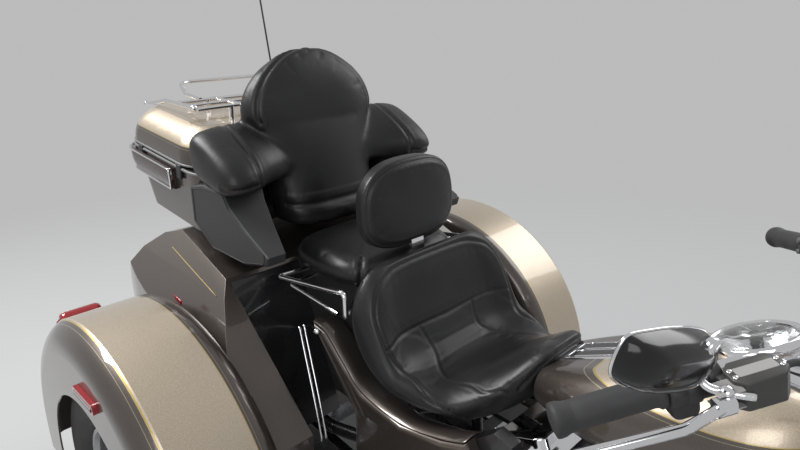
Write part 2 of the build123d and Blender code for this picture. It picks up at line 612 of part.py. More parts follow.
COVER_OUT, CAM_T = 58, 40
with BuildPart() as engine_covers:
    with BuildSketch(side(CASE_HALF + 34 + SEAT)):
        with Locations((CRANK_Y, CRANK_Z)):
            Circle(100)
        with Locations((10, 306)):
            Circle(88)
        make_hull()
    extrude(amount=COVER_OUT)
    fillet(engine_covers.faces().sort_by(Axis.X)[-1].edges(), 18)
    with BuildSketch(side(-CASE_HALF - SEAT)):
        with Locations((CRANK_Y, CRANK_Z - 6)):
            Circle(80)
        with Locations((CRANK_Y + 88, CRANK_Z + 12)):
            Circle(46)
        make_hull()
    extrude(amount=-CAM_T)
    fillet(engine_covers.faces().sort_by(Axis.X)[0].edges(), 12)
finish(engine_covers, "engine_covers")


def cylinder_plane(sign):
    """A plane at the crank, looking up one cylinder: -1 the front one, 1 the rear one."""
    lean = radians(V_HALF) * sign
    return Plane(origin=(0, CRANK_Y, CRANK_Z), x_dir=(1, 0, 0), z_dir=(0, sin(lean), cos(lean)))


FIN_T, FIN_PITCH, FIN_W, FIN_H = 5, 13, 148, 144


def make_cylinder(sign):
    """One finned barrel and head, cut off short of its neighbour."""
    plane = cylinder_plane(sign)
    with BuildPart() as barrel:
        with BuildSketch(plane.offset(CASE_R + SEAT - 4)):
            Circle(52)
        extrude(amount=HEAD_TOP_Z - CASE_R + 4 - SEAT)
        level = CASE_R + 22
        while level + FIN_T < HEAD_TOP_Z:
            with BuildSketch(plane.offset(level)):
                RectangleRounded(FIN_W, FIN_H, 34)
            extrude(amount=FIN_T)
            level += FIN_PITCH
        with BuildSketch(side(-FIN_W, CRANK_Y, CRANK_Z)):
            Polygon((0, 0), (sign * 2, 0), (sign * 2, 500), (-sign * 400, 500), (-sign * 400, 0), align=None)
        extrude(amount=2 * FIN_W, mode=Mode.SUBTRACT)
        with BuildSketch(side(-FIN_W, CRANK_Y, CRANK_Z)):
            Circle(CASE_R + SEAT)
        extrude(amount=2 * FIN_W, mode=Mode.SUBTRACT)
    return barrel.part


with BuildPart() as cylinders:
    add(make_cylinder(-1))
    add(make_cylinder(1))
    add(engine_cases.part, mode=Mode.SUBTRACT)
finish(cylinders, "cylinders")

ROD_X, ROD_R = -86, 8
with BuildPart() as rocker_covers:
    for sign in (-1, 1):
        with BuildSketch(cylinder_plane(sign).offset(HEAD_TOP_Z + SEAT)):
            RectangleRounded(196, 118, 24)
        extrude(amount=ROCKER_TOP - HEAD_TOP_Z)
    fillet(rocker_covers.edges().filter_by(GeomType.CIRCLE).group_by(Axis.Z)[-1], 6)
    for sign in (-1, 1):
        with BuildSketch(cylinder_plane(sign).offset(88)):
            with Locations((ROD_X, -sign * 4 - 14), (ROD_X, -sign * 4 + 14)):
                Circle(ROD_R)
        extrude(amount=HEAD_TOP_Z + 2 - 88)
    add(engine_cases.part, mode=Mode.SUBTRACT)
finish(rocker_covers, "rocker_covers")

AIR_R, AIR_Z, AIR_IN, AIR_T = 84, 492, 98, 58
with BuildPart() as air_cleaner:
    with BuildSketch(side(-AIR_IN, CRANK_Y, AIR_Z)):
        Circle(AIR_R)
    extrude(amount=-AIR_T)
    fillet(air_cleaner.faces().sort_by(Axis.X)[0].edges(), 14)
    with BuildSketch(side(-AIR_IN, CRANK_Y, AIR_Z)):
        RectangleRounded(124, 40, 12)
    extrude(amount=AIR_IN - FIN_W / 2 - SEAT)
    add(rocker_covers.part, mode=Mode.SUBTRACT)
finish(air_cleaner, "air_cleaner")

# Exhaust: a pipe from each head, joined low down, and a muffler on each side
PIPE_R, PIPE_X, PIPE_Z = 19, 187, 213
MUFFLER_X, MUFFLER_Z, MUFFLER_R, MUFFLER_Y, MUFFLER_END = 330, 206, 46, 340, 1245
with BuildPart() as exhaust:
    add(bar([(-40, -372, 520), (-70, -440, 500), (-160, -462, 420), (-PIPE_X, -405, PIPE_Z),
             (-PIPE_X, 150, PIPE_Z), (-MUFFLER_X, 310, MUFFLER_Z), (-MUFFLER_X, MUFFLER_Y + 30, MUFFLER_Z)],
            PIPE_R, 34))
    add(bar([(-40, -18, 508), (-84, 28, 506), (-178, 34, 440), (-PIPE_X, 60, PIPE_Z + 6),
             (-PIPE_X, 120, PIPE_Z)], PIPE_R, 26))
    add(bar([(-PIPE_X, 148, PIPE_Z), (PIPE_X + 10, 148, PIPE_Z), (MUFFLER_X, 310, MUFFLER_Z),
             (MUFFLER_X, MUFFLER_Y + 30, MUFFLER_Z)], PIPE_R, 30))
    for s in (-1, 1):
        with BuildSketch(facing(MUFFLER_Y, MUFFLER_Z)):
            with Locations((s * MUFFLER_X, 0)):
                Circle(PIPE_R + 4)
        with BuildSketch(facing(MUFFLER_Y + 90, MUFFLER_Z)):
            with Locations((s * MUFFLER_X, 0)):
                Circle(MUFFLER_R)
        loft()
        with BuildSketch(facing(MUFFLER_Y + 90, MUFFLER_Z)):
            with Locations((s * MUFFLER_X, 0)):
                Circle(MUFFLER_R)
        extrude(amount=MUFFLER_END - MUFFLER_Y - 90)
        with BuildSketch(facing(MUFFLER_END, MUFFLER_Z)):
            with Locations((s * MUFFLER_X, 0)):
                Circle(MUFFLER_R - 8)
        extrude(amount=-80, mode=Mode.SUBTRACT)
finish(exhaust, "exhaust")

# Fuel tank with its console

# Each row is one cross-section: distance along, half width, low edge, high edge, corner radius
TANK_ROWS = [(-84, 96, 718, 794, 34), (-230, 150, 708, 866, 70), (-390, 168, 712, 926, 92),
             (-490, 146, 742, 938, 84), (-546, 84, 800, 906, 44)]
TUNNEL_HALF, TUNNEL_RISE = 34, 36
with BuildPart() as fuel_tank:
    for y, half, low, high, corner in TANK_ROWS:
        with BuildSketch(facing(y, (low + high) / 2)):
            RectangleRounded(2 * half, high - low, corner)
    loft()
    spine = SPINE_END - head_mid
    slope = spine.Z / spine.Y
    ahead, behind = -620, -40
    add(slab([(ahead, head_mid.Z + slope * (ahead - head_mid.Y) + TUNNEL_RISE),
              (behind, head_mid.Z + slope * (behind - head_mid.Y) + TUNNEL_RISE), (behind, 560), (ahead, 560)],
             -TUNNEL_HALF, TUNNEL_HALF), mode=Mode.SUBTRACT)
finish(fuel_tank, "fuel_tank")

CONSOLE_HALF = 44
DIAL_Y, DIAL_Z, DIAL_R, DIAL_LEAN = -408, 968, 70, 24
dial_up = (0, sin(radians(DIAL_LEAN)), cos(radians(DIAL_LEAN)))
dial = Plane(origin=(0, DIAL_Y, DIAL_Z), x_dir=(-1, 0, 0), z_dir=dial_up)
with BuildPart() as tank_console:
    add(slab([(-90, 764), (-93, 804), (-110, 812), (-210, 861), (-346, 928), (-346, 856)],
             -CONSOLE_HALF, CONSOLE_HALF))
    fillet(tank_console.edges().filter_by(GeomType.LINE).filter_by(
        lambda e: abs(e.center().X) > CONSOLE_HALF - 1 and e.center().Z > 830), 12)
    with BuildSketch(dial.offset(-70)):
        Circle(DIAL_R - 8)
    with BuildSketch(dial.offset(-16)):
        Circle(DIAL_R)
    loft()
    with BuildSketch(dial.offset(-16)):
        Circle(DIAL_R)
    extrude(amount=16)
    fillet(tank_console.edges().filter_by(GeomType.CIRCLE).sort_by(Axis.Z)[-1], 9)
    add(fuel_tank.part, mode=Mode.SUBTRACT)
finish(tank_console, "tank_console")

# Rear body: the trunk between the fenders

# The side view of the trunk, as (along, up) corners: its deck rolls over to a leaning rear wall
STEP_Y = 830
DECK = [(620, 828), (900, 866), (970, 845), (1025, 800), (1060, 742)]
TRUNK = [(300, FLOOR_Z), (300, 560)] + DECK + [(REAR_END - 39, FLOOR_LOW_Z), (STEP_Y, FLOOR_LOW_Z),
                                               (STEP_Y, FLOOR_Z)]
CAVITY = [(478, FLOOR_Z + 6), (634, 798), (890, 838), (958, 820), (1009, 778), (1047, 724),
          (REAR_END - 55, FLOOR_LOW_Z + 6), (STEP_Y + 6, FLOOR_LOW_Z + 6), (STEP_Y + 6, FLOOR_Z + 6)]
# Its plan narrows to the rear round two long elliptical corners
TAIL_FLAT, TAIL_LONG = 240, 520
RECESS = [(280, FLOOR_Z - 10), (455, FLOOR_Z - 10), (455, FLOOR_Z), (612, 822), (612, 900), (280, 900)]
RECESS_HALF, CAVITY_HALF = SHOULDER_X - 33, SHOULDER_X - 16
wall_top, wall_low = Vector(0, *DECK[-1]), Vector(0, REAR_END - 39, FLOOR_LOW_Z)
wall_up = (wall_top - wall_low).normalized()
wall_out = Vector(0, wall_up.Z, -wall_up.Y)
door = Plane(origin=(wall_top + wall_low) / 2, x_dir=(-1, 0, 0), z_dir=wall_out)
DOOR_W, DOOR_H, DOOR_IN, DOOR_OUT = 2 * TAIL_FLAT + 40, 360, 8, 6
HINGE_UP, HINGE_OUT, KNUCKLE_R, HINGE_PIN_R = -DOOR_H / 2 - 4, 16, 9, 4
HINGE_X, KNUCKLE_L = 170, 40
hinge_at = door.from_local_coords(Vector(0, HINGE_UP, HINGE_OUT))


def tail(inset):
    """The trunk's plan with its rounded rear corners, smaller by an inset, as a tall solid."""
    wide, flat, start, bulge = BODY_HALF - inset, TAIL_FLAT - inset, REAR_END - 35 - TAIL_LONG, 0.5523
    end = start + TAIL_LONG - inset
    with BuildPart() as body:
        with BuildSketch(Plane.XY.offset(FLOOR_LOW_Z - 10)):
            with BuildLine():
                for s in (-1, 1):
                    Bezier((s * wide, start), (s * wide, start + bulge * (end - start)),
                           (s * (flat + bulge * (wide - flat)), end), (s * flat, end))
                Line((-flat, end), (flat, end))
                Polyline((-wide, start), (-wide, 250), (wide, 250), (wide, start))
            make_face()
        extrude(amount=600)
    return body.part


def shoulders(inset):
    """What a rolled shoulder takes off each top edge of the trunk, moved inwards by an inset."""
    low, high = SHOULDER_Z - 90, SHOULDER_Z + 80
    with BuildPart() as cut:
        for s in (-1, 1):
            with BuildSketch(facing(250)):
                Polygon((s * (FENDER_IN + 2 - inset), low), (s * (SHOULDER_X - inset), SHOULDER_Z),
                        (s * (SHOULDER_X - 72 - inset), high), (s * (FENDER_IN + 60), high),
                        (s * (FENDER_IN + 60), low), align=None)
            extrude(amount=1100)
    return cut.part


with BuildPart() as trunk_shell:
    add(slab(TRUNK, -BODY_HALF, BODY_HALF))
    add(tail(0), mode=Mode.INTERSECT)
    add(slab(RECESS, -RECESS_HALF, RECESS_HALF), mode=Mode.SUBTRACT)
    add(shoulders(0), mode=Mode.SUBTRACT)
    with BuildPart(mode=Mode.PRIVATE) as inside:
        add(slab(CAVITY, -CAVITY_HALF, CAVITY_HALF))
        add(tail(14), mode=Mode.INTERSECT)
        add(shoulders(14), mode=Mode.SUBTRACT)
    add(inside.part, mode=Mode.SUBTRACT)
    with BuildSketch(door.offset(-40)):
        RectangleRounded(DOOR_W + 2 * CLEAR, DOOR_H + 2 * CLEAR, 34)
    extrude(amount=60, mode=Mode.SUBTRACT)
    for s in (-1, 1):
        low, high = sorted((s * (HINGE_X + KNUCKLE_L / 2 + 1), s * (HINGE_X + KNUCKLE_L / 2 + 15)))
        with BuildSketch(side(low, hinge_at.Y, hinge_at.Z)):
            Circle(KNUCKLE_R)
        extrude(amount=high - low)
        with BuildSketch(Plane(origin=(low, hinge_at.Y, hinge_at.Z), x_dir=wall_up, z_dir=(1, 0, 0))):
            with Locations((-16, HINGE_OUT / 2 + 1)):
                Rectangle(22, HINGE_OUT + 6)
        extrude(amount=high - low)
        low, high = sorted((s * (HINGE_X - KNUCKLE_L / 2 - 6), s * (HINGE_X + KNUCKLE_L / 2 + 14)))
        with BuildSketch(side(low, hinge_at.Y, hinge_at.Z)):
            Circle(HINGE_PIN_R)
        extrude(amount=high - low)
finish(trunk_shell, "trunk_shell")

with BuildPart() as trunk_door:
    with BuildSketch(door.offset(-DOOR_IN)):
        RectangleRounded(DOOR_W, DOOR_H, 30)
    extrude(amount=DOOR_IN + DOOR_OUT)
    for s in (-1, 1):
        low, high = sorted((s * (HINGE_X - KNUCKLE_L / 2), s * (HINGE_X + KNUCKLE_L / 2)))
        with BuildSketch(side(low, hinge_at.Y, hinge_at.Z)):
            Circle(KNUCKLE_R)
        extrude(amount=high - low)
        with BuildSketch(door.offset(DOOR_OUT - 1)):
            with Locations((-s * HINGE_X, HINGE_UP + 12)):
                Rectangle(KNUCKLE_L, 22)
        extrude(amount=HINGE_OUT + KNUCKLE_R - DOOR_OUT - 1)
        with BuildSketch(side(low - 10, hinge_at.Y, hinge_at.Z)):
            Circle(HINGE_PIN_R + RUN)
        extrude(amount=high - low + 20, mode=Mode.SUBTRACT)
finish(trunk_door, "trunk_door")


# Rear fenders: a round crown that rolls down to a flat outer side with a wheel arch

ARCH_R, FENDER_START, FENDER_ARC = FENDER_R - 170, -7, 193
ROLL_R = FENDER_R - 68


def fender_profile(sign):
    """The fender's cross-section in (x, radius) from the fender's own centre."""
    wall = FENDER_WALL
    with BuildSketch(across(FENDER_Y, FENDER_Z, FENDER_START)) as profile:
        with BuildLine():
            inner = ThreePointArc((sign * FENDER_IN, FENDER_R - 38), (sign * (FENDER_IN + 11), FENDER_R - 11),
                                  (sign * (CROWN_IN - 8), FENDER_R))
            crown = Line(inner @ 1, (sign * (CROWN_OUT - 12), FENDER_R))
            roll = ThreePointArc(crown @ 1, (sign * (FENDER_OUT - 15), FENDER_R - 24),
                                 (sign * FENDER_OUT, ROLL_R))
            Line(roll @ 1, (sign * FENDER_OUT, ARCH_R))
            Line((sign * FENDER_OUT, ARCH_R), (sign * (FENDER_OUT - wall), ARCH_R))
            Line((sign * (FENDER_OUT - wall), ARCH_R), (sign * (FENDER_OUT - wall), ROLL_R))
            back = ThreePointArc((sign * (FENDER_OUT - wall), ROLL_R),
                                 (sign * (FENDER_OUT - 18), FENDER_R - 27),
                                 (sign * (CROWN_OUT - 13), FENDER_R - wall))
            flat = Line(back @ 1, (sign * (CROWN_IN - 7), FENDER_R - wall))
            down = ThreePointArc(flat @ 1, (sign * (FENDER_IN + 14), FENDER_R - 14),
                                 (sign * (FENDER_IN + wall), FENDER_R - 39))
            Line(down @ 1, (sign * (FENDER_IN + wall), ARCH_R + 20))
            Line((sign * (FENDER_IN + wall), ARCH_R + 20), (sign * FENDER_IN, ARCH_R + 20))
            Line((sign * FENDER_IN, ARCH_R + 20), inner @ 0)
        make_face()
    return profile.sketch


for name, sign in (("right", -1), ("left", 1)):
    with BuildPart() as fender:
        add(fender_profile(sign))
        revolve(axis=Axis((0, FENDER_Y, FENDER_Z), (1, 0, 0)), revolution_arc=FENDER_ARC)
    finish(fender, f"{name}_fender")

# Lamps on the fenders: one on each rear slope and a strip on each side
TAIL_T, TAIL_IN, TAIL_OUT, TAIL_START, TAIL_ARC = 15, CROWN_IN + 60, CROWN_OUT - 18, 30, 20
MARK_Y, MARK_Z, MARK_L, MARK_H, MARK_T = FENDER_Y - 53, FENDER_Z + ROLL_R - 45, 120, 24, 11
with BuildPart() as tail_lamps:
    for s in (-1, 1):
        low, high = FENDER_R + SEAT, FENDER_R + TAIL_T
        shape = [(TAIL_IN, low), (TAIL_IN, high - 5), (TAIL_IN + 7, high), (TAIL_OUT - 7, high),
                 (TAIL_OUT, high - 5), (TAIL_OUT, low)]
        add(ring(FENDER_Y, FENDER_Z, [(s * x, r) for x, r in shape], TAIL_START, TAIL_ARC))
        with BuildSketch(side(s * (FENDER_OUT + SEAT), MARK_Y, MARK_Z)):
            RectangleRounded(MARK_L, MARK_H, 8, rotation=-4)
        extrude(amount=s * MARK_T)
finish(tail_lamps, "tail_lamps")

BUMPER_R, BUMPER_Z, BUMPER_HALF = 20, FLOOR_LOW_Z - 33, FENDER_IN - 14
bumper_y = REAR_END - BUMPER_R
with BuildPart() as rear_bumper:
    add(bar([(-BUMPER_HALF, bumper_y - 125, BUMPER_Z), (-BUMPER_HALF, bumper_y, BUMPER_Z),
             (BUMPER_HALF, bumper_y, BUMPER_Z), (BUMPER_HALF, bumper_y - 125, BUMPER_Z)], BUMPER_R, 70))
    for s in (-1, 1):
        low, high = sorted((s * 180, s * 220))
        add(slab([(bumper_y - 83, FLOOR_LOW_Z - SEAT), (bumper_y - 53, FLOOR_LOW_Z - SEAT),
                  (bumper_y, BUMPER_Z + 8), (bumper_y, BUMPER_Z - 8), (bumper_y - 83, BUMPER_Z)], low, high))
finish(rear_bumper, "rear_bumper")

# Seats: a base box, the rider's bucket, the passenger's pad and two backrests

BASE_HALF = 150
BASE_TOP = 829
BASE = [(250, 500), (250, 668), (292, 734), (320, 800), (320, BASE_TOP), (611.6, BASE_TOP),
        (611.6, 822), (475.7, 500)]
with BuildPart() as seat_base:
    add(slab(BASE, -BASE_HALF, BASE_HALF))
finish(seat_base, "seat_base")

# The seats' side views, as (along, up) corners, and their plans, as (across, along) corners
BUCKET = [(-98, 794), (-94, 812), (-80, 824), (-60, 824), (0, 764), (60, 714), (130, 694), (190, 712), (238, 790),
          (270, 872), (290, 916), (304, 916), (314, 880), (316, 800), (290, 738), (209, 674), (103, 655),
          (43, 644), (10, 648), (-66, 709), (-90, 770)]
BUCKET_PLAN = [(-54, -102), (-110, -72), (-152, -44), (-182, 10), (-208, 60), (-228, 120), (-238, 190),
               (-242, 262), (-206, 320)]
with BuildPart() as rider_seat:
    add(slab(BUCKET, -250, 250))
    with BuildSketch(Plane.XY.offset(600)):
        Polygon(*BUCKET_PLAN, *[(-x, y) for x, y in reversed(BUCKET_PLAN)], align=None)
    extrude(amount=400, mode=Mode.INTERSECT)
    add(frame.part, mode=Mode.SUBTRACT)
    add(fuel_tank.part, mode=Mode.SUBTRACT)
    add(tank_console.part, mode=Mode.SUBTRACT)
    add(seat_base.part, mode=Mode.SUBTRACT)
finish(rider_seat, "rider_seat")

PAD = [(334, BASE_TOP + SEAT), (334, 876), (350, 896), (560, 894), (600, 886), (618, 862),
       (618, BASE_TOP + SEAT)]
with BuildPart() as passenger_seat:
    add(slab(PAD, -182, 182))
    fillet(passenger_seat.edges().filter_by(Axis.Z), 14)
finish(passenger_seat, "passenger_seat")

POST_W, POST_Y, POST_T, POST_TOP = 40, 319, 9, 990
REST_LOW, REST_HIGH = 904, 1112


def post(grow):
    """The flat upright behind the rider, larger or smaller all round."""
    low, high = POST_Y - grow, POST_Y + POST_T + grow
    outline = [(low, BASE_TOP + SEAT), (high, BASE_TOP + SEAT), (high, REST_LOW - 14),
               (high + 16, POST_TOP + grow), (low + 16, POST_TOP + grow), (low, REST_LOW - 14)]
    return slab(outline, -POST_W / 2 - grow, POST_W / 2 + grow)


with BuildPart() as rider_backrest:
    with BuildSketch(facing(200)):
        with Locations((0, (REST_LOW + REST_HIGH) / 2)):
            RectangleRounded(300, REST_HIGH - REST_LOW, 62)
    extrude(amount=260)
    add(slab([(317, 894), (327, 1118), (394, 1118), (374, 894)], -150, 150), mode=Mode.INTERSECT)
    add(post(SEAT), mode=Mode.SUBTRACT)
finish(rider_backrest, "rider_backrest")

# The passenger's backrest: a leaning pad with an arched top and a bolster each side. Its rear
# leans with the box, so that the lid swings past it.
BACK_LOW, BACK_TOP, BACK_REAR = 904, 1337, 787
BACK_HALF, ARCH_HALF, BOLSTER_HALF = 172, 222, 342
SPRING_Z, BOLSTER_LOW, BOLSTER_TOP = 1180, 1050, 1190
BACK = [(592, BACK_LOW), (606, 960), (640, 1060), (690, 1240), (708, 1310), (738, BACK_TOP - 1),
        (BACK_REAR - 27, BACK_TOP - 5), (BACK_REAR - 16, 1300), (BACK_REAR, BOLSTER_LOW + 16),
        (752.2, BOLSTER_LOW + 2), (752.2, BACK_LOW)]
BOLSTER = [(640, BOLSTER_LOW - 16), (580, BOLSTER_LOW - 20), (582, 1074), (600, 1110), (640, 1150),
           (700, BOLSTER_TOP), (BACK_REAR - 9, BOLSTER_TOP - 4), (BACK_REAR, BOLSTER_LOW + 16),
           (752.2, BOLSTER_LOW)]
FRONT_VIEW = [(150, BACK_LOW), (BACK_HALF, 1000), (BACK_HALF, 1120), (ARCH_HALF, SPRING_Z)]
WING = [(100, 560), (BACK_HALF - 20, 700), (BACK_HALF + 20, 620), (BOLSTER_HALF - 40, 560),
        (BOLSTER_HALF - 4, 590), (BOLSTER_HALF, 800)]


def both_sides(points):
    """An outline from its left half: the mirrored points follow in turn."""
    return points + [(-x, y) for x, y in reversed(points)]


with BuildPart() as passenger_backrest:
    add(slab(BACK, -ARCH_HALF, ARCH_HALF))
    with BuildSketch(facing(500)):
        with BuildLine():
            half = Polyline(*FRONT_VIEW)
            ThreePointArc(half @ 1, (0, BACK_TOP), (-ARCH_HALF, SPRING_Z))
            Polyline(*[(-x, z) for x, z in reversed(FRONT_VIEW)], FRONT_VIEW[0])
        make_face()
    extrude(amount=400, mode=Mode.INTERSECT)
    with BuildSketch(side(-BOLSTER_HALF)):
        Polygon(*BOLSTER, align=None)
    extrude(amount=2 * BOLSTER_HALF)
    with BuildSketch(Plane.XY.offset(BACK_LOW - 24)):
        Polygon(*both_sides(WING), align=None)
    extrude(amount=500, mode=Mode.INTERSECT)
finish(passenger_backrest, "passenger_backrest")

RAIL_R = 6
rail_corner, rail_low, rail_rear = (235, 316, 862), (235, 314, 800), (235, 571, 815)
with BuildPart() as grab_rails:
    for s in (-1, 1):
        corner, low, rear = [(s * x, y, z) for x, y, z in (rail_corner, rail_low, rail_rear)]
        add(bar([(s * (BASE_HALF + SEAT), 560, 815), rear, corner, low, (s * (BASE_HALF + SEAT), 372, 806)],
                RAIL_R, 12))
        add(bar([(s * 235, 340, 803), (s * 235, 520, 812), (s * (BASE_HALF + SEAT), 530, 806)], RAIL_R - 1, 12))
    add(slab(BASE, -BASE_HALF - SEAT, BASE_HALF + SEAT), mode=Mode.SUBTRACT)
    add(post(0))
    add(rider_seat.part, mode=Mode.SUBTRACT)
finish(grab_rails, "grab_rails")

# Top box: a tub with a lid that opens to the left

BOX_TILT, BOX_FRONT, BOX_Z = 3.7, 752, 1055
BOX_W, BOX_L, BOX_R, BOX_DEEP, LID_H, BOX_T = 622, 460, 85, 165, 98, 5
BOX_Y = BOX_FRONT + BOX_L / 2
LOW_W, LOW_L, LOW_Y = BOX_W - 22, BOX_L - 110, -35
LID_FRONT = BACK_REAR + 8
tilt = radians(BOX_TILT)
box = Plane(origin=(0, BOX_Y, BOX_Z), x_dir=(1, 0, 0), z_dir=(0, -sin(tilt), cos(tilt)))
SEAM = CLEAR / 2
LID_HINGE_X = BOX_W / 2 + 11
LUG_R, LUG_L = 8, 16
LUG_ROWS = (-106, 94)


def hinge_plane(y):
    """A plane square to the lid's hinge line, some way along the box, looking forward."""
    return Plane(origin=box.from_local_coords(Vector(LID_HINGE_X, y, 0)), x_dir=(1, 0, 0), z_dir=box.y_dir * -1)


def tub(grow):
    """The tub's outer shape, larger or smaller all round."""
    with BuildPart() as shape:
        with BuildSketch(box.offset(-BOX_DEEP)):
            with Locations((0, LOW_Y)):
                RectangleRounded(LOW_W + 2 * grow, LOW_L + 2 * grow, 60)
        with BuildSketch(box.offset(-SEAM)):
            RectangleRounded(BOX_W + 2 * grow, BOX_L + 2 * grow, BOX_R)
        loft()
    return shape.part


with BuildPart() as tour_pack_base:
    add(tub(0))
    with BuildSketch(box.offset(-BOX_DEEP + BOX_T)):
        with Locations((0, LOW_Y + 20)):
            RectangleRounded(LOW_W - 20, LOW_L - 60, 50)
    with BuildSketch(box.offset(-SEAM + 1)):
        with Locations((0, 20)):
            RectangleRounded(BOX_W - 2 * BOX_T - 6, BOX_L - 60, BOX_R - 10)
    loft(mode=Mode.SUBTRACT)
    for y in LUG_ROWS:
        with BuildSketch(hinge_plane(y)):
            Circle(LUG_R)
            with Locations((-8, -9)):
                Rectangle(16, 8)
        extrude(amount=LUG_L)
        with BuildSketch(hinge_plane(y + LUG_L)):
            Circle(HINGE_PIN_R)
        extrude(amount=2 * LUG_L)
finish(tour_pack_base, "tour_pack_base")

lid_l = BOX_FRONT + BOX_L - LID_FRONT
lid_mid = (BOX_L - lid_l) / 2
# Each row of the lid: height over the seam, width, length, corner radius
LID_ROWS = [(SEAM, BOX_W, lid_l, BOX_R), (55, BOX_W - 16, lid_l - 10, BOX_R + 5),
            (LID_H, BOX_W - 110, lid_l - 90, BOX_R - 5)]
with BuildPart() as tour_pack_lid:
    for level, width, length, corner in LID_ROWS:
        with BuildSketch(box.offset(level)):
            with Locations((0, lid_mid)):
                RectangleRounded(width, length, corner)
    loft()
    for level, width, length, corner in LID_ROWS:
        with BuildSketch(box.offset(level - BOX_T if level > SEAM else level)):
            with Locations((0, lid_mid)):
                RectangleRounded(width - 2 * BOX_T, length - 2 * BOX_T, corner - BOX_T)
    loft(mode=Mode.SUBTRACT)
    for y in LUG_ROWS:
        with BuildSketch(hinge_plane(y + LUG_L + 1)):
            Circle(LUG_R)
            with Locations((-8, 6)):
                Rectangle(16, 5)
        extrude(amount=LUG_L)
        with BuildSketch(hinge_plane(y + LUG_L + 2)):
            Circle(HINGE_PIN_R + RUN)
        extrude(amount=LUG_L + 2, mode=Mode.SUBTRACT)
finish(tour_pack_lid, "tour_pack_lid")

# Luggage rack on the lid
RACK_R, RACK_Z, RACK_X = 6, BOX_Z + LID_H + 33, BOX_W / 2 - 65
RACK_POST_X, RACK_POSTS, RACK_RAIL_X, RACK_BARS = 150, (-102, 28), 120, (-102, -37, 28)
with BuildPart() as luggage_rack:
    for s in (-1, 1):
        add(bar([(s * RACK_X, BOX_Y - 82, RACK_Z), (s * RACK_X, BOX_Y + 78, RACK_Z),
                 (s * RACK_X, BOX_Y + 208, RACK_Z - 26)], RACK_R, 60))
        with Locations((s * RACK_X, BOX_Y - 82, RACK_Z), (s * RACK_X, BOX_Y + 208, RACK_Z - 26)):
            Sphere(RACK_R + 3.5)
        add(bar([(s * RACK_RAIL_X, BOX_Y - 120, RACK_Z - 1), (s * RACK_RAIL_X, BOX_Y + 48, RACK_Z - 1)],
                RACK_R - 1))
        for y in RACK_POSTS:
            with BuildSketch(Plane.XY.offset(RACK_Z - 2)):
                with Locations((s * RACK_POST_X, BOX_Y + y)):
                    Circle(RACK_R + 1)
            extrude(amount=-LID_H + 18)
    for y in RACK_BARS:
        add(bar([(-RACK_X, BOX_Y + y, RACK_Z - 2), (RACK_X, BOX_Y + y, RACK_Z - 2)], RACK_R - 0.6))
    loop = [(-170, 26, 1), (-170, 114, 6), (-138, 214, 26), (138, 214, 26), (170, 114, 6), (170, 26, 1)]
    add(bar([(x, BOX_Y + y, RACK_Z + z) for x, y, z in loop], RACK_R - 0.3, 45))
    with BuildSketch(box.offset(-40)):
        RectangleRounded(BOX_W - 60, BOX_L, 60)
    extrude(amount=LID_H + 40 + SEAT, mode=Mode.SUBTRACT)
finish(luggage_rack, "luggage_rack")

# Lamps that wrap the tub's rear corners
LAMP_T, LAMP_LOW, LAMP_TALL = 8, -74, 58
with BuildPart() as tour_pack_lamps:
    add(tub(LAMP_T))
    add(tub(SEAT), mode=Mode.SUBTRACT)
    with BuildSketch(box.offset(LAMP_LOW)):
        for s in (-1, 1):
            with Locations((s * (BOX_W / 2 - 51), BOX_L / 2 - 140)):
                Rectangle(200, 320)
    extrude(amount=LAMP_TALL, mode=Mode.INTERSECT)
finish(tour_pack_lamps, "tour_pack_lamps")

POD_IN, POD_OUT = 214, 326
with BuildPart() as speaker_pods:
    add(slab([(566, 874), (472, 900), (466, 922), (552, 962), (622, 1002), (644, 1031), (737, 1031),
              (806, 1014), (806, 920), (716, 870)], -POD_OUT, POD_OUT))
    with BuildSketch(Plane.XY.offset(800)):
        for s in (-1, 1):
            Polygon((s * POD_IN, 660), (s * (POD_OUT - 46), 460), (s * POD_OUT, 460), (s * POD_OUT, 810),
                    (s * POD_IN, 810), align=None)
    extrude(amount=300, mode=Mode.INTERSECT)
    fillet(speaker_pods.faces().sort_by(Axis.X)[0].edges(), 7)
    fillet(speaker_pods.faces().sort_by(Axis.X)[-1].edges(), 7)
    add(tub(SEAT), mode=Mode.SUBTRACT)
finish(speaker_pods, "speaker_pods")

MOUNT_X, MOUNT_W = 140, 44
with BuildPart() as tour_pack_mount:
    for s in (-1, 1):
        low, high = s * MOUNT_X - MOUNT_W / 2, s * MOUNT_X + MOUNT_W / 2
        slope = (DECK[1][1] - DECK[0][1]) / (DECK[1][0] - DECK[0][0])
        feet = [(820, DECK[1][1] - slope * (DECK[1][0] - 820) + SEAT), (DECK[1][0], DECK[1][1] + SEAT),
                (DECK[2][0], DECK[2][1] + SEAT)]
        add(slab(feet + [(DECK[2][0], BOX_Z - 93), (820, BOX_Z - 93)], low, high))
    with BuildSketch(box.offset(-BOX_DEEP - SEAT)):
        Rectangle(900, 900)
    extrude(amount=300, mode=Mode.SUBTRACT)
finish(tour_pack_mount, "tour_pack_mount")

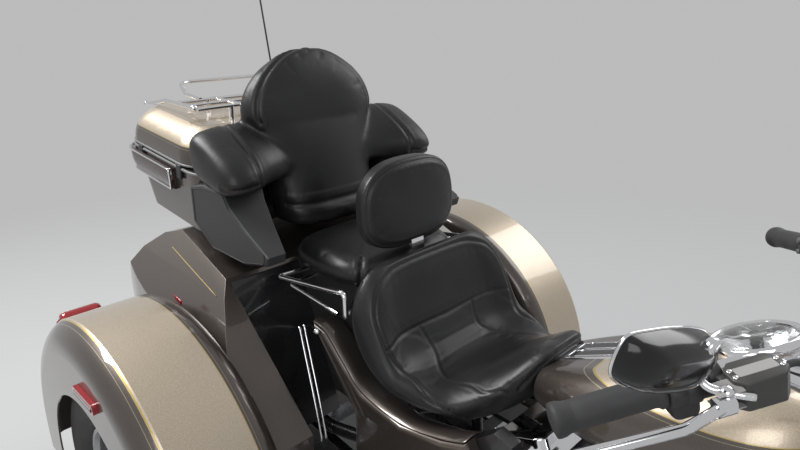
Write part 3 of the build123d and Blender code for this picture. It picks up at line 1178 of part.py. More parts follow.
MAST_X, MAST_Y, MAST_Z, MAST_TOP = BOX_W / 2 - 76, BOX_Y + BOX_L / 2 + 1, BOX_Z - 70, 1548
with BuildPart() as antenna:
    lean = 0.205
    add(bar([(MAST_X, MAST_Y, MAST_Z), (MAST_X, MAST_Y + lean * (MAST_TOP - MAST_Z), MAST_TOP)], 3))
    with Locations((MAST_X, MAST_Y + lean * (MAST_TOP - MAST_Z), MAST_TOP)):
        Sphere(5)
    with BuildSketch(Plane.XY.offset(MAST_Z - 30)):
        with Locations((MAST_X, MAST_Y)):
            Circle(9)
    extrude(amount=44)
    add(bar([(MAST_X - 30, MAST_Y - 123, MAST_Z - 14), (MAST_X, MAST_Y, MAST_Z - 14)], 8))
    add(tub(SEAT), mode=Mode.SUBTRACT)
    add(tour_pack_lamps.part, mode=Mode.SUBTRACT)
finish(antenna, "antenna")

# Painted covers below the seat and dark panels ahead of the trunk
COVER_IN, COVER_OUT_X = 200, 236
COVER = [(445, 738), (396, 730), (326, 670), (268, 627), (146, 613), (34, 641), (-29, 669), (-64, 610),
         (-30, 520), (10, 456), (292, 456), (292, 566), (330, 600)]
with BuildPart() as side_covers:
    for s in (-1, 1):
        low, high = sorted((s * COVER_IN, s * COVER_OUT_X))
        add(slab(COVER, low, high))
        low, high = sorted((s * (BASE_HALF + SEAT), s * (COVER_IN + 2)))
        for y, z in ((274, 520), (274, 600)):
            with BuildSketch(side(low, y, z)):
                Circle(10)
            extrude(amount=high - low)
    fillet(side_covers.faces().sort_by(Axis.X)[0].edges(), 14)
    fillet(side_covers.faces().sort_by(Axis.X)[-1].edges(), 14)
    add(trunk_shell.part, mode=Mode.SUBTRACT)
    add(rider_seat.part, mode=Mode.SUBTRACT)
finish(side_covers, "side_covers")

with BuildPart() as splash_panels:
    for low, high in ((-RECESS_HALF + SEAT, -BASE_HALF - SEAT), (BASE_HALF + SEAT, RECESS_HALF - SEAT)):
        add(slab([(455.4, FLOOR_Z + 2), (611.2, 821), (604, 822), (447, FLOOR_Z + 2)], low, high))
    for low, high in ((-COVER_IN + SEAT, -168), (168, COVER_IN - SEAT)):
        add(slab([(-128, 600), (-112, 690), (-70, 700), (-4, 640), (20, 560), (-60, 560)], low, high))
    add(side_covers.part, mode=Mode.SUBTRACT)
    add(rider_seat.part, mode=Mode.SUBTRACT)
    add(grab_rails.part, mode=Mode.SUBTRACT)
finish(splash_panels, "splash_panels")

# Footboards, foot levers and the engine guard
BOARD_IN, BOARD_OUT, BOARD_Z, BOARD_T = 232, 336, 250, 14
BRACKET_Y, BRACKET_L = -352, 30
PEG_IN, PEG_OUT, PEG_Y, PEG_L, PEG_Z = 222, 316, 120, 150, 350
with BuildPart() as floorboards:
    for s in (-1, 1):
        low, high = sorted((s * BOARD_IN, s * BOARD_OUT))
        add(slab([(-400, BOARD_Z + 44), (-340, BOARD_Z), (-70, BOARD_Z), (-70, BOARD_Z + BOARD_T),
                  (-336, BOARD_Z + BOARD_T), (-392, BOARD_Z + 44 + BOARD_T)], low, high))
        low, high = sorted((s * (CRADLE_X + TUBE_R + SEAT), s * (BOARD_IN + 10)))
        add(slab([(BRACKET_Y, BOARD_Z - 12), (BRACKET_Y + BRACKET_L, BOARD_Z - 12),
                  (BRACKET_Y + BRACKET_L, BOARD_Z + 6), (BRACKET_Y, BOARD_Z + 6)], low, high))
        low, high = sorted((s * (CRADLE_X + TUBE_R + SEAT), s * (CRADLE_X + TUBE_R + 12)))
        add(slab([(BRACKET_Y, CRADLE_Z - 12), (BRACKET_Y + BRACKET_L, CRADLE_Z - 12),
                  (BRACKET_Y + BRACKET_L, BOARD_Z), (BRACKET_Y, BOARD_Z)], low, high))
        low, high = sorted((s * PEG_IN, s * PEG_OUT))
        add(slab([(PEG_Y, PEG_Z), (PEG_Y + PEG_L, PEG_Z), (PEG_Y + PEG_L, PEG_Z + BOARD_T),
                  (PEG_Y, PEG_Z + BOARD_T)], low, high))
        low, high = sorted((s * (CRADLE_X + TUBE_R + SEAT), s * (PEG_IN + 18)))
        add(slab([(PEG_Y + 72, PEG_Z - 6), (PEG_Y + 100, PEG_Z - 6), (PEG_Y + 100, PEG_Z + 6),
                  (PEG_Y + 72, PEG_Z + 6)], low, high))
    add(exhaust.part, mode=Mode.SUBTRACT)
finish(floorboards, "floorboards")

with BuildPart() as foot_levers:
    for s in (-1, 1):
        add(bar([(s * 156, BRACKET_Y + 15, BOARD_Z + 8), (s * 178, BRACKET_Y - 28, BOARD_Z + 46),
                 (s * 218, BRACKET_Y - 60, BOARD_Z + 80), (s * 290, BRACKET_Y - 60, BOARD_Z + 80)], 7, 12))
        with BuildSketch(side(s * 250, BRACKET_Y - 60, BOARD_Z + 80)):
            RectangleRounded(34, 22, 8)
        extrude(amount=s * 52)
    add(floorboards.part, mode=Mode.SUBTRACT)
    add(engine_covers.part, mode=Mode.SUBTRACT)
finish(foot_levers, "foot_levers")

GUARD_R = 15
GUARD_ROUTE = [(60, -596, 520), (300, -640, 500), (330, -640, 300), (290, -600, 196), (120, -540, 196)]
with BuildPart() as engine_guard:
    for s in (-1, 1):
        add(bar([(s * x, y, z) for x, y, z in GUARD_ROUTE], GUARD_R, 40))
    add(frame.part, mode=Mode.SUBTRACT)
finish(engine_guard, "engine_guard")
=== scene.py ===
# %% [markdown]
# # A motorized trike, dressed for its portrait
# The imported model gives every hard part at its real size, so this file only adds what a
# solid model leaves out: paint and leather, padding and seams, tread, bolts and trim.
# All sizes are metres. Z is up, the trike faces -Y, and the rider's left hand is at +X.

# %% Load the frame
import bpy
import bmesh
import json
from math import atan2, copysign, cos, pi, radians, sin, sqrt
from mathutils import Matrix, Vector
from mathutils.bvhtree import BVHTree
from mathutils.kdtree import KDTree

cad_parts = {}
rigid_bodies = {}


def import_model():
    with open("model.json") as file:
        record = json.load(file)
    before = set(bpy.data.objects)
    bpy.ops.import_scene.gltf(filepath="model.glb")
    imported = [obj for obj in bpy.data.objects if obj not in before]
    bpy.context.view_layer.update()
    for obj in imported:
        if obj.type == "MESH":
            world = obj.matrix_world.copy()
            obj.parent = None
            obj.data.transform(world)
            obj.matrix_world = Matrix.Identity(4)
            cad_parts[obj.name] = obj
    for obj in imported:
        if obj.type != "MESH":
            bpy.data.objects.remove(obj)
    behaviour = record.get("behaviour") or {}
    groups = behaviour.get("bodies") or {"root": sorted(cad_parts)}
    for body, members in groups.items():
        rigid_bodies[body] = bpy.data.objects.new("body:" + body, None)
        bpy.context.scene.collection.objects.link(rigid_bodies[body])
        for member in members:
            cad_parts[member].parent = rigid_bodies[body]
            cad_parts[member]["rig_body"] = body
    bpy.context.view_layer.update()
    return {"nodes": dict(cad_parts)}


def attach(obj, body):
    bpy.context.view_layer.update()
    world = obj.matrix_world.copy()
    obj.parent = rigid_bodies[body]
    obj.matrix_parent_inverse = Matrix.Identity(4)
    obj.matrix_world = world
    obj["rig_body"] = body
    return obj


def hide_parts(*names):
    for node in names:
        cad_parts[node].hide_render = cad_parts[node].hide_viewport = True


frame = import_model()

# %% [markdown]
# ## Node trees, a little at a time
# Every finish below starts from the same shader node, Principled BSDF. Plain numbers are
# typed into its sockets, and only what changes across the surface is wired in. Two small
# helpers keep the wiring short: one adds a node, the other a material with its shader.

# %% Helpers for materials
def add_node(tree, kind, settings=None, **sockets):
    """Add one shader node, set its own options, then its input sockets."""
    made = tree.nodes.new("ShaderNode" + kind)
    for key, value in (settings or {}).items():
        setattr(made, key, value)
    for key, value in sockets.items():
        name = key.replace("_", " ")
        spot = made.inputs[int(key[1:])] if key[1:].isdigit() else made.inputs[name]
        if isinstance(value, bpy.types.NodeSocket):
            tree.links.new(value, spot)
        else:
            spot.default_value = value
    return made


def new_finish(name, colour, roughness, metallic=0.0, coat=0.0, coat_roughness=0.03, **sockets):
    """A material whose shader has these plain values."""
    finish = bpy.data.materials.new(name)
    finish.use_nodes = True
    tree = finish.node_tree
    shader = tree.nodes["Principled BSDF"]
    plain = {"Base Color": (*colour, 1), "Roughness": roughness, "Metallic": metallic,
             "Coat Weight": coat, "Coat Roughness": coat_roughness}
    plain.update({key.replace("_", " "): value for key, value in sockets.items()})
    for key, value in plain.items():
        shader.inputs[key].default_value = value
    finish.diffuse_color = (*colour, 1)
    return finish, tree, shader


def place_of(tree):
    """The point on the piece, in metres, as a colour node can read it."""
    return add_node(tree, "TexCoord").outputs["Object"]


def grain(tree, scale, detail=3.0, rough=0.5):
    """Smooth random variation with a given number of blobs per metre."""
    return add_node(tree, "TexNoise", Vector=place_of(tree), Scale=scale, Detail=detail,
                    Roughness=rough).outputs["Fac"]


def blend_colours(tree, factor, first, second):
    """Go from one colour to another as the factor rises from 0 to 1."""
    mix = add_node(tree, "Mix", {"data_type": "RGBA"}, Factor=factor)
    for spot, value in ((6, first), (7, second)):
        if isinstance(value, bpy.types.NodeSocket):
            tree.links.new(value, mix.inputs[spot])
        else:
            mix.inputs[spot].default_value = (*value, 1)
    return mix.outputs[2]


def remap(tree, value, low, high, new_low, new_high):
    """Stretch one range of numbers onto another."""
    made = add_node(tree, "MapRange", None, Value=value, From_Min=low, From_Max=high,
                    To_Min=new_low, To_Max=new_high)
    return made.outputs["Result"]


def math(tree, operation, first, second=0.0, third=0.0):
    """One arithmetic step."""
    made = add_node(tree, "Math", {"operation": operation}, i0=first, i1=second)
    made.inputs[2].default_value = third
    return made.outputs[0]


def minus(tree, first, second):
    """One number less another."""
    return math(tree, "SUBTRACT", first, second)


def length_of(tree, first, second):
    """How long a slope is, from its two legs."""
    squares = [math(tree, "MULTIPLY", leg, leg) for leg in (first, second)]
    return math(tree, "SQRT", math(tree, "ADD", *squares))


def press(tree, shader, height, distance, strength=1.0):
    """Turn a height into fine relief."""
    bump = add_node(tree, "Bump", Height=height, Distance=distance, Strength=strength)
    tree.links.new(bump.outputs["Normal"], shader.inputs["Normal"])


print("helpers ready")

# %% [markdown]
# ## Paint
# The real paint is a metallic base under a clear coat. Fine flakes scatter the light, so the
# base is metallic and rather rough, with a tiny cell pattern in its brightness, and the clear
# coat on top is smooth. Both colours share one recipe: champagne gold and dark brown-grey.

# %% Paint colours
GOLD = (0.50, 0.42, 0.32)
BROWN = (0.085, 0.070, 0.060)
STRIPE = (0.46, 0.34, 0.11)
PAINT = {"roughness": 0.38, "metallic": 0.75, "coat": 1.0}


def flakes(tree, colour):
    """A paint colour with fine sparkle."""
    cells = add_node(tree, "TexVoronoi", Vector=place_of(tree), Scale=1400.0).outputs["Color"]
    sparkle = remap(tree, cells, 0.0, 1.0, 0.0, 1.0)
    bright = tuple(min(1.0, v * 1.35) for v in colour)
    dark = tuple(v * 0.80 for v in colour)
    return blend_colours(tree, sparkle, dark, bright)


paint_brown, tree, shader = new_finish("paint_brown", BROWN, **PAINT)
tree.links.new(flakes(tree, BROWN), shader.inputs["Base Color"])
print("the plain paint")

# %% [markdown]
# ## Two-tone panels
# On the fenders, tank and lid the gold stops at a thin yellow pinstripe, with a second, finer
# line beside it in the brown. Arithmetic on the object's own coordinates says how far inside
# the gold each point lies, so the edges fall exactly, with no image and no decal.

# %% Two-tone paint
PINSTRIPES = [(0.0, 0.0008, STRIPE), (-0.0065, 0.0004, (0.30, 0.26, 0.19))]


def two_tone(name, inside):
    """Gold where inside() is positive, brown elsewhere, with pinstripes along the edge."""
    finish, tree, shader = new_finish(name, BROWN, **PAINT)
    x, y, z = add_node(tree, "SeparateXYZ", Vector=place_of(tree)).outputs
    depth = inside(tree, x, y, z)
    is_gold = math(tree, "GREATER_THAN", depth, 0.0)
    tone = blend_colours(tree, is_gold, flakes(tree, BROWN), flakes(tree, GOLD))
    for middle, half_width, colour in PINSTRIPES:
        line = math(tree, "COMPARE", depth, middle, half_width)
        tone = blend_colours(tree, line, tone, colour)
    tree.links.new(tone, shader.inputs["Base Color"])
    return finish


FENDER_AXLE = Vector((0, 0.650, 0.330))
FENDER_MID, GOLD_HALF, GOLD_RADIUS = 0.575, 0.087, 0.4572
FRONT_GOLD_HALF = 0.048
TANK_SLOPE, TANK_LEVEL, TANK_EDGE, TANK_SPREAD = 0.135, 0.823, -0.176, 0.28
BOX_MID, BOX_SLOPE, LID_SHOULDER = Vector((0, 0.982, 1.055)), 0.0647, 0.052


def on_fender(tree, x, y, z):
    """A band over the crown that stays outside a circle round the fender's centre."""
    off_middle = math(tree, "ABSOLUTE", minus(tree, math(tree, "ABSOLUTE", x), FENDER_MID))
    out = length_of(tree, minus(tree, z, FENDER_AXLE.z), minus(tree, y, FENDER_AXLE.y))
    across, above = minus(tree, GOLD_HALF, off_middle), minus(tree, out, GOLD_RADIUS)
    return math(tree, "MINIMUM", across, above)


def on_front_fender(tree, x, y, z):
    """A band along the middle."""
    return minus(tree, FRONT_GOLD_HALF, math(tree, "ABSOLUTE", x))


def on_tank(tree, x, y, z):
    """Above a rising line and ahead of an upright one, whose outer line stands further off."""
    rise = math(tree, "MULTIPLY", y, TANK_SLOPE)
    above = math(tree, "ADD", rise, minus(tree, z, TANK_LEVEL))
    ahead = minus(tree, TANK_EDGE, y)
    spread = math(tree, "MAXIMUM", ahead, math(tree, "MULTIPLY", ahead, TANK_SPREAD))
    return math(tree, "MINIMUM", above, spread)


def on_lid(tree, x, y, z):
    """The height over the lid's own level, less that of its shoulder."""
    height = minus(tree, z, math(tree, "MULTIPLY", y, BOX_SLOPE))
    return minus(tree, height, BOX_MID.z - BOX_MID.y * BOX_SLOPE + LID_SHOULDER)


paint_fender = two_tone("paint_fender", on_fender)
paint_front_fender = two_tone("paint_front_fender", on_front_fender)
paint_tank = two_tone("paint_tank", on_tank)
paint_lid = two_tone("paint_lid", on_lid)
print("pinstriped paints")

# %% [markdown]
# ## Chrome, castings and plastics
# Polished chrome is a bright metal with almost no roughness. It isn't perfectly even, so a
# faint cloudiness goes into the roughness alone. Castings are duller with a sandy skin, and
# black plastics get a pebbled relief.

# %% Metals
def clouded(tree, shader, low, high, scale=30.0):
    """Let the roughness drift between two values."""
    drift = remap(tree, grain(tree, scale), 0.3, 0.7, low, high)
    tree.links.new(drift, shader.inputs["Roughness"])


def make_finish(*plain, clouds=None, sand=None):
    """A finish with clouds (low, high, scale) and a skin of sand (depth, strength, scale)."""
    finish, tree, shader = new_finish(*plain)
    if clouds:
        clouded(tree, shader, *clouds)
    if sand:
        press(tree, shader, grain(tree, *sand[2:]), *sand[:2])
    return finish


chrome = make_finish("chrome", (0.83, 0.83, 0.85), 0.06, 1.0, clouds=(0.03, 0.10))
aluminium = make_finish("cast_aluminium", (0.48, 0.48, 0.50), 0.36, 1.0,
                        clouds=(0.28, 0.44, 60.0), sand=(0.0003, 0.5, 900.0))
steel, tree, shader = new_finish("machined_steel", (0.42, 0.42, 0.44), 0.28, 1.0)
squeezed = add_node(tree, "Mapping", Vector=place_of(tree), Scale=(900.0, 30.0, 30.0)).outputs[0]
rings = add_node(tree, "TexNoise", Vector=squeezed, Scale=1.0, Detail=2.0).outputs["Fac"]
tree.links.new(remap(tree, rings, 0.3, 0.7, 0.18, 0.40), shader.inputs["Roughness"])
crinkle = make_finish("crinkle_black", (0.022, 0.022, 0.024), 0.55, sand=(0.0006, 0.8, 1200.0, 4.0))
frame_black = make_finish("frame_black", (0.012, 0.012, 0.013), 0.28, 0.0, 0.6, clouds=(0.22, 0.36))
print("metals")

# %% Plastics, rubber and lenses
satin_black, tree, shader = new_finish("satin_black", (0.022, 0.022, 0.023), 0.5)
pebbles = add_node(tree, "TexVoronoi", Vector=place_of(tree), Scale=700.0).outputs["Distance"]
press(tree, shader, pebbles, 0.0005, 0.35)
gloss_black = make_finish("gloss_black", (0.006, 0.006, 0.007), 0.12, clouds=(0.08, 0.18))
splash_black = make_finish("splash_black", (0.012, 0.012, 0.013), 0.22, 0.0, 0.5,
                           clouds=(0.16, 0.34, 9.0), sand=(0.004, 0.25, 9.0, 2.0))
grip_rubber = make_finish("grip_rubber", (0.030, 0.030, 0.031), 0.62,
                          clouds=(0.52, 0.72), sand=(0.0004, 0.6, 1500.0, 4.0))
tyre_rubber, tree, shader = new_finish("tyre_rubber", (0.018, 0.018, 0.018), 0.78)
dusty = remap(tree, grain(tree, 14.0, 5.0), 0.35, 0.7, 0.0, 1.0)
dust = blend_colours(tree, dusty, (0.016, 0.016, 0.016), (0.036, 0.035, 0.033))
tree.links.new(dust, shader.inputs["Base Color"])
press(tree, shader, grain(tree, 1100.0), 0.0004, 0.5)


def rounded_cells(tree, scale):
    """The distance from the middle of each cell, without creases between cells."""
    return add_node(tree, "TexVoronoi", {"feature": "SMOOTH_F1"}, Vector=place_of(tree),
                    Scale=scale).outputs["Distance"]


def make_lens(name, colour, transmission):
    """Moulded plastic with facets, clear or nearly so."""
    finish, tree, shader = new_finish(name, colour, 0.04, 0.0, 1.0, IOR=1.49,
                                      Transmission_Weight=transmission)
    press(tree, shader, rounded_cells(tree, 95.0), 0.002, 0.35)
    return finish


clear_lens = make_lens("clear_lens", (0.95, 0.97, 0.98), 1.0)
red_lens = make_lens("red_lens", (0.42, 0.010, 0.016), 0.35)
amber_lens = make_lens("amber_lens", (0.80, 0.27, 0.02), 0.4)
dark_lens = make_lens("dark_lens", (0.03, 0.012, 0.014), 0.2)
print("plastics, rubber and lenses")

# %% [markdown]
# ## Leather
# The seats are covered in smooth black leather. Close up it has a pebbled grain, and where it
# is stretched it shows a soft sheen. Cells give the grain, slow noise gives the difference
# between rubbed and fresh areas.

# %% Leather
leather, tree, shader = new_finish("black_leather", (0.012, 0.012, 0.013), 0.40,
                                   Specular_IOR_Level=0.40)
press(tree, shader, rounded_cells(tree, 620.0), 0.0004, 0.30)
rubbed = remap(tree, grain(tree, 7.0, 4.0), 0.3, 0.7, 0.0, 1.0)
tone = blend_colours(tree, rubbed, (0.008, 0.008, 0.0085), (0.017, 0.017, 0.018))
tree.links.new(tone, shader.inputs["Base Color"])
tree.links.new(remap(tree, rubbed, 0.0, 1.0, 0.34, 0.46), shader.inputs["Roughness"])
thread = make_finish("thread_grey", (0.10, 0.10, 0.10), 0.7, clouds=(0.6, 0.8))
print("leather and thread")

# %% [markdown]
# ## Dress the solid parts
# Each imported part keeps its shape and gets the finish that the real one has. The table
# below names them all, so nothing is left in a default grey.

# %% Finish of each solid part
WEARERS = [
    (chrome, "engine_covers rocker_covers air_cleaner exhaust tank_console rear_bumper grab_rails"),
    (chrome, "foot_levers engine_guard front_fork headlight_nacelle light_bar handlebar"),
    (chrome, "hand_levers luggage_rack"),
    (aluminium, "engine_cases front_calipers front_wheel right_rear_wheel left_rear_wheel"),
    (steel, "rear_axle front_axle"),
    (crinkle, "cylinders"),
    (frame_black, "frame swingarm"),
    (satin_black, "seat_base speaker_pods tour_pack_mount"),
    (gloss_black, "antenna hand_controls mirrors"),
    (splash_black, "splash_panels"),
    (grip_rubber, "drive_belt floorboards grips"),
    (tyre_rubber, "front_tyre right_rear_tyre left_rear_tyre"),
    (leather, "rider_seat passenger_seat rider_backrest passenger_backrest"),
    (paint_brown, "trunk_shell trunk_door tour_pack_base side_covers"),
    (paint_fender, "right_fender left_fender"),
    (paint_front_fender, "front_fender"),
    (paint_tank, "fuel_tank"),
    (paint_lid, "tour_pack_lid"),
    (clear_lens, "headlamp_lens spot_lenses"),
    (amber_lens, "front_turn_lenses"),
    (red_lens, "tail_lamps"),
    (dark_lens, "tour_pack_lamps"),
]
FINISH_OF = {name: finish for finish, names in WEARERS for name in names.split()}
for name, part in frame["nodes"].items():
    part.data.materials.clear()
    part.data.materials.append(FINISH_OF[name])
print(len(FINISH_OF), "parts dressed")

# %% [markdown]
# ## From a bmesh to a piece that rides along
# Blender models are easiest to steer as a bmesh, a loose mesh in memory. When it is ready it
# becomes an object that sits at the origin, wears its finish and follows one body of the
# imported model, so that the lids, the steering and the wheels can move later.

# %% Helpers for pieces
def as_piece(name, mesh, finish, body, smooth=True, replaces=()):
    """Turn a bmesh into an object that follows a body."""
    bmesh.ops.recalc_face_normals(mesh, faces=mesh.faces)
    for face in mesh.faces:
        face.smooth = smooth
    data = bpy.data.meshes.new(name)
    mesh.to_mesh(data)
    mesh.free()
    piece = bpy.data.objects.new(name, data)
    bpy.context.scene.collection.objects.link(piece)
    data.materials.append(finish)
    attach(piece, body)
    if replaces:
        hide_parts(*replaces)
    return piece


def with_modifier(piece, kind, name, **settings):
    """Add a modifier and set its options."""
    made = piece.modifiers.new(name, kind)
    for key, value in settings.items():
        setattr(made, key, value)


def catmull_rom(a, b, c, d, t):
    """The smooth value between b and c, for numbers or vectors."""
    return 0.5 * (2 * b + (c - a) * t + (2 * a - 5 * b + 4 * c - d) * t * t
                  + (3 * b - a - 3 * c + d) * t ** 3)


def smooth_path(points, steps=8):
    """A smooth curve through the points."""
    points = [Vector(p) for p in points]
    padded = [2 * points[0] - points[1]] + points + [2 * points[-1] - points[-2]]
    path = []
    for four in zip(padded, padded[1:], padded[2:], padded[3:]):
        path += [catmull_rom(*four, k / steps) for k in range(steps)]
    return path + [points[-1]]


def edges_of(ring):
    """The edges between the vertices of a ring."""
    return {e for v in ring for e in v.link_edges if e.other_vert(v) in ring}


def add_tube(mesh, points, radius, sides=10):
    """A round bar through points, with its ends closed."""
    points = [Vector(p) for p in points]
    normal = None
    rings = []
    for k, point in enumerate(points):
        run = (points[min(k + 1, len(points) - 1)] - points[max(k - 1, 0)]).normalized()
        if normal is None:
            normal = run.orthogonal().normalized()
        normal = (normal - run * normal.dot(run)).normalized()
        turn = Matrix((normal, run.cross(normal), run)).transposed().to_4x4()
        ring = bmesh.ops.create_circle(mesh, cap_ends=False, radius=radius, segments=sides,
                                       matrix=Matrix.Translation(point) @ turn)["verts"]
        rings.append(ring)
    for first, second in zip(rings, rings[1:]):
        bmesh.ops.bridge_loops(mesh, edges=list(edges_of(first)) + list(edges_of(second)))
    for ring in (rings[0], rings[-1]):
        mesh.faces.new(ring)


def ease_edges(mesh, edges, offset, segments):
    """Round some edges and return the vertices that this makes."""
    return bmesh.ops.bevel(mesh, geom=edges, offset=offset, offset_type="OFFSET", segments=segments,
                           profile=0.5, affect="EDGES", material=-1)["verts"]


def add_block(mesh, low, high, bevel=0.0, segments=2):
    """A box between two corners, with its edges eased."""
    made = bmesh.ops.create_cube(mesh, size=1.0)["verts"]
    bmesh.ops.scale(mesh, verts=made, vec=[h - l for l, h in zip(low, high)])
    bmesh.ops.translate(mesh, verts=made, vec=[(l + h) / 2 for l, h in zip(low, high)])
    if bevel:
        made = ease_edges(mesh, list({e for v in made for e in v.link_edges}), bevel, segments)
    return made


print("piece helpers ready")

# %% [markdown]
# ## Softer edges on the painted shells
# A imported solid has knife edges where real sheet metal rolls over. A copy of the part is
# welded, its flat areas are cleaned up, and a Bevel modifier rounds every sharp edge, with
# weighted normals so that the big faces stay flat and shine evenly.

# %% Round the edges
WELD, FLAT, SHARP = 0.00002, radians(1.0), radians(25)


def softened(node, width):
    """A copy of a part with rounded edges, standing for it."""
    mesh = bmesh.new()
    mesh.from_mesh(frame["nodes"][node].data)
    bmesh.ops.remove_doubles(mesh, verts=mesh.verts, dist=WELD)
    bmesh.ops.dissolve_limit(mesh, angle_limit=FLAT, verts=mesh.verts, edges=mesh.edges,
                             delimit=set())
    piece = as_piece(node + "_soft", mesh, FINISH_OF[node], frame["nodes"][node]["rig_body"],
                     replaces=(node,))
    with_modifier(piece, "BEVEL", "round", width=width, segments=4, limit_method="ANGLE",
                  angle_limit=SHARP, harden_normals=False, use_clamp_overlap=True)
    with_modifier(piece, "WEIGHTED_NORMAL", "even", keep_sharp=False)


for node, width in (("trunk_shell", 0.018), ("trunk_door", 0.005), ("side_covers", 0.006),
                    ("speaker_pods", 0.011), ("tour_pack_lid", 0.010), ("fuel_tank", 0.012)):
    softened(node, width)
print("rounded shells")

# %% [markdown]
# ## Upholstery
# A stuffed cover is a closed skin that foam pushes out between its seams. Each one starts as
# a plain loft of its rings, is remeshed into even squares, and is blown up a little as cloth
# while its seam lines are held. The grooves and the stitches are laid on the finished skin.

# %% Helpers for stuffed pieces
def catmull(points, t):
    """A smooth value along a list of tuples, t counting the tuples from 0."""
    last = len(points) - 1
    t = min(max(t, 0.0), last - 1e-6)
    k = int(t)
    four = [points[min(max(n, 0), last)] for n in (k - 1, k, k + 1, k + 2)]
    return tuple(catmull_rom(*values, t - k) for values in zip(*four))


def squarish(value, corner):
    """A sine or cosine pushed outwards, so that an oval turns into a rounded rectangle."""
    return copysign(abs(value) ** (2.0 / corner), value)


def weave(mesh, pairs, closed=True):
    """Quads between pairs of rows of vertices, each row closed or open."""
    for first, second in pairs:
        for k in range(len(first) if closed else len(first) - 1):
            after = (k + 1) % len(first)
            mesh.faces.new((first[k], first[after], second[after], second[k]))


def skin(mesh, rings):
    """Bridge closed rings of points into a closed skin."""
    made = [[mesh.verts.new(point) for point in ring] for ring in rings]
    weave(mesh, zip(made, made[1:]))
    for ring in (made[0], made[-1]):
        hub = mesh.verts.new(sum((v.co for v in ring), Vector()) / len(ring))
        for k in range(len(ring)):
            mesh.faces.new((hub, ring[k], ring[(k + 1) % len(ring)]))


def sweep(mesh, place, rows, count, fine=2):
    """A skin through place(row, k), with some steps to each row of a table."""
    skin(mesh, [[place(row / fine, k) for k in range(count)]
                for row in range(fine * (len(rows) - 1) + 1)])


def even_steps(points, step):
    """The same curve with its points a constant distance apart."""
    path = [Vector(points[0])]
    rest = step
    for a, b in zip(points, points[1:]):
        a, b = Vector(a), Vector(b)
        length = (b - a).length
        while rest <= length:
            path.append(a.lerp(b, rest / length))
            rest += step
        rest -= length
    return path


def bake(piece):
    """Fold the modifiers into the mesh."""
    bpy.context.view_layer.update()
    ready = piece.evaluated_get(bpy.context.evaluated_depsgraph_get())
    whole = bpy.data.meshes.new_from_object(ready)
    piece.modifiers.clear()
    old = piece.data
    piece.data = whole
    bpy.data.meshes.remove(old)
    for face in piece.data.polygons:
        face.use_smooth = True


def tree_of(points):
    """A search tree over points."""
    tree = KDTree(len(points))
    for count, point in enumerate(points):
        tree.insert(point, count)
    tree.balance()
    return tree


HELD_WITHIN, PRESSURE, FRAMES = 0.006, 4.0, 20


def stuff(piece, seams, swell):
    """Inflate a remeshed skin as cloth, with its seams held and its travel limited."""
    tree = tree_of([point for seam in seams for point in seam])
    held = piece.vertex_groups.new(name="held")
    start = [v.co.copy() for v in piece.data.vertices]
    near = [k for k, point in enumerate(start) if tree.find(point)[2] < HELD_WITHIN]
    held.add(near, 1.0, "REPLACE")
    cloth = piece.modifiers.new("foam", "CLOTH").settings
    cloth.use_pressure = True
    cloth.uniform_pressure_force = PRESSURE
    cloth.effector_weights.gravity = 0
    cloth.quality = 4
    cloth.mass = 0.3
    cloth.vertex_group_mass = "held"
    scene = bpy.context.scene
    scene.frame_start, scene.frame_end = 1, FRAMES
    for step in range(1, FRAMES + 1):
        scene.frame_set(step)
    blown = piece.evaluated_get(bpy.context.evaluated_depsgraph_get()).data
    ends = [v.co.copy() for v in blown.vertices]
    piece.modifiers.clear()
    scene.frame_set(1)
    for vert, old, new in zip(piece.data.vertices, start, ends):
        move = new - old
        vert.co = old + (move * (swell / move.length) if move.length > swell else move)


STITCH, THREAD_LIFT, THREAD_THICK = 0.0066, 0.0002, 0.0009


def add_stitch(mesh, centre, run, out, length, thick):
    """One stitch: a thin four-sided grain of thread with pointed ends."""
    side = out.cross(run).normalized()
    ring = [mesh.verts.new(centre + (side * cos(a) + out * sin(a)) * thick / 2)
            for a in (k * pi / 2 for k in range(4))]
    ends = [mesh.verts.new(centre + run * s * length / 2) for s in (-1, 1)]
    for k in range(4):
        after = (k + 1) % 4
        mesh.faces.new((ring[k], ring[after], ends[1]))
        mesh.faces.new((ring[after], ring[k], ends[0]))


def groove(mesh, tree, depth, width):
    """Press a groove with a low swelling beside it along the points of a tree."""
    mesh.normal_update()
    moves = []
    for vert in mesh.verts:
        far = tree.find(vert.co)[2]
        if far < width:
            t = far / width
            moves.append((vert, -depth * (1 - t * t) ** 2 * vert.normal))
        elif far < 2.6 * width:
            t = (far - width) / (1.6 * width)
            moves.append((vert, 0.25 * depth * sin(pi * t) * vert.normal))
    for vert, move in moves:
        vert.co += move


def sew(name, piece, seams, body, depth=0.0035, width=0.008, beside=None):
    """Press grooves along the seams and lay a thread of short stitches in them."""
    mesh = bmesh.new()
    mesh.from_mesh(piece.data)
    shape = BVHTree.FromBMesh(mesh)
    lines = []
    for seam in seams:
        found = [shape.find_nearest(point) for point in even_steps(seam, STITCH / 2)]
        lines.append([(spot, normal) for spot, normal, face, far in found if spot and far < 0.05])
    groove(mesh, tree_of([spot for line in lines for spot, normal in line]), depth, width)
    mesh.to_mesh(piece.data)
    shape = BVHTree.FromBMesh(mesh)
    mesh.free()
    threads = bmesh.new()
    for line in lines:
        for offset in ((0.0,) if beside is None else (-beside, beside)):
            for k in range(1, len(line) - 2, 2):
                (spot, normal), after = line[k], line[k + 1][0]
                run = after - spot
                if run.length < 1e-5:
                    continue
                run.normalize()
                middle = (spot + after) / 2 + normal.cross(run) * offset
                on, out, face, far = shape.find_nearest(middle)
                add_stitch(threads, on + out * THREAD_LIFT, run, out, STITCH * 0.62, THREAD_THICK)
    as_piece(name, threads, thread, body)


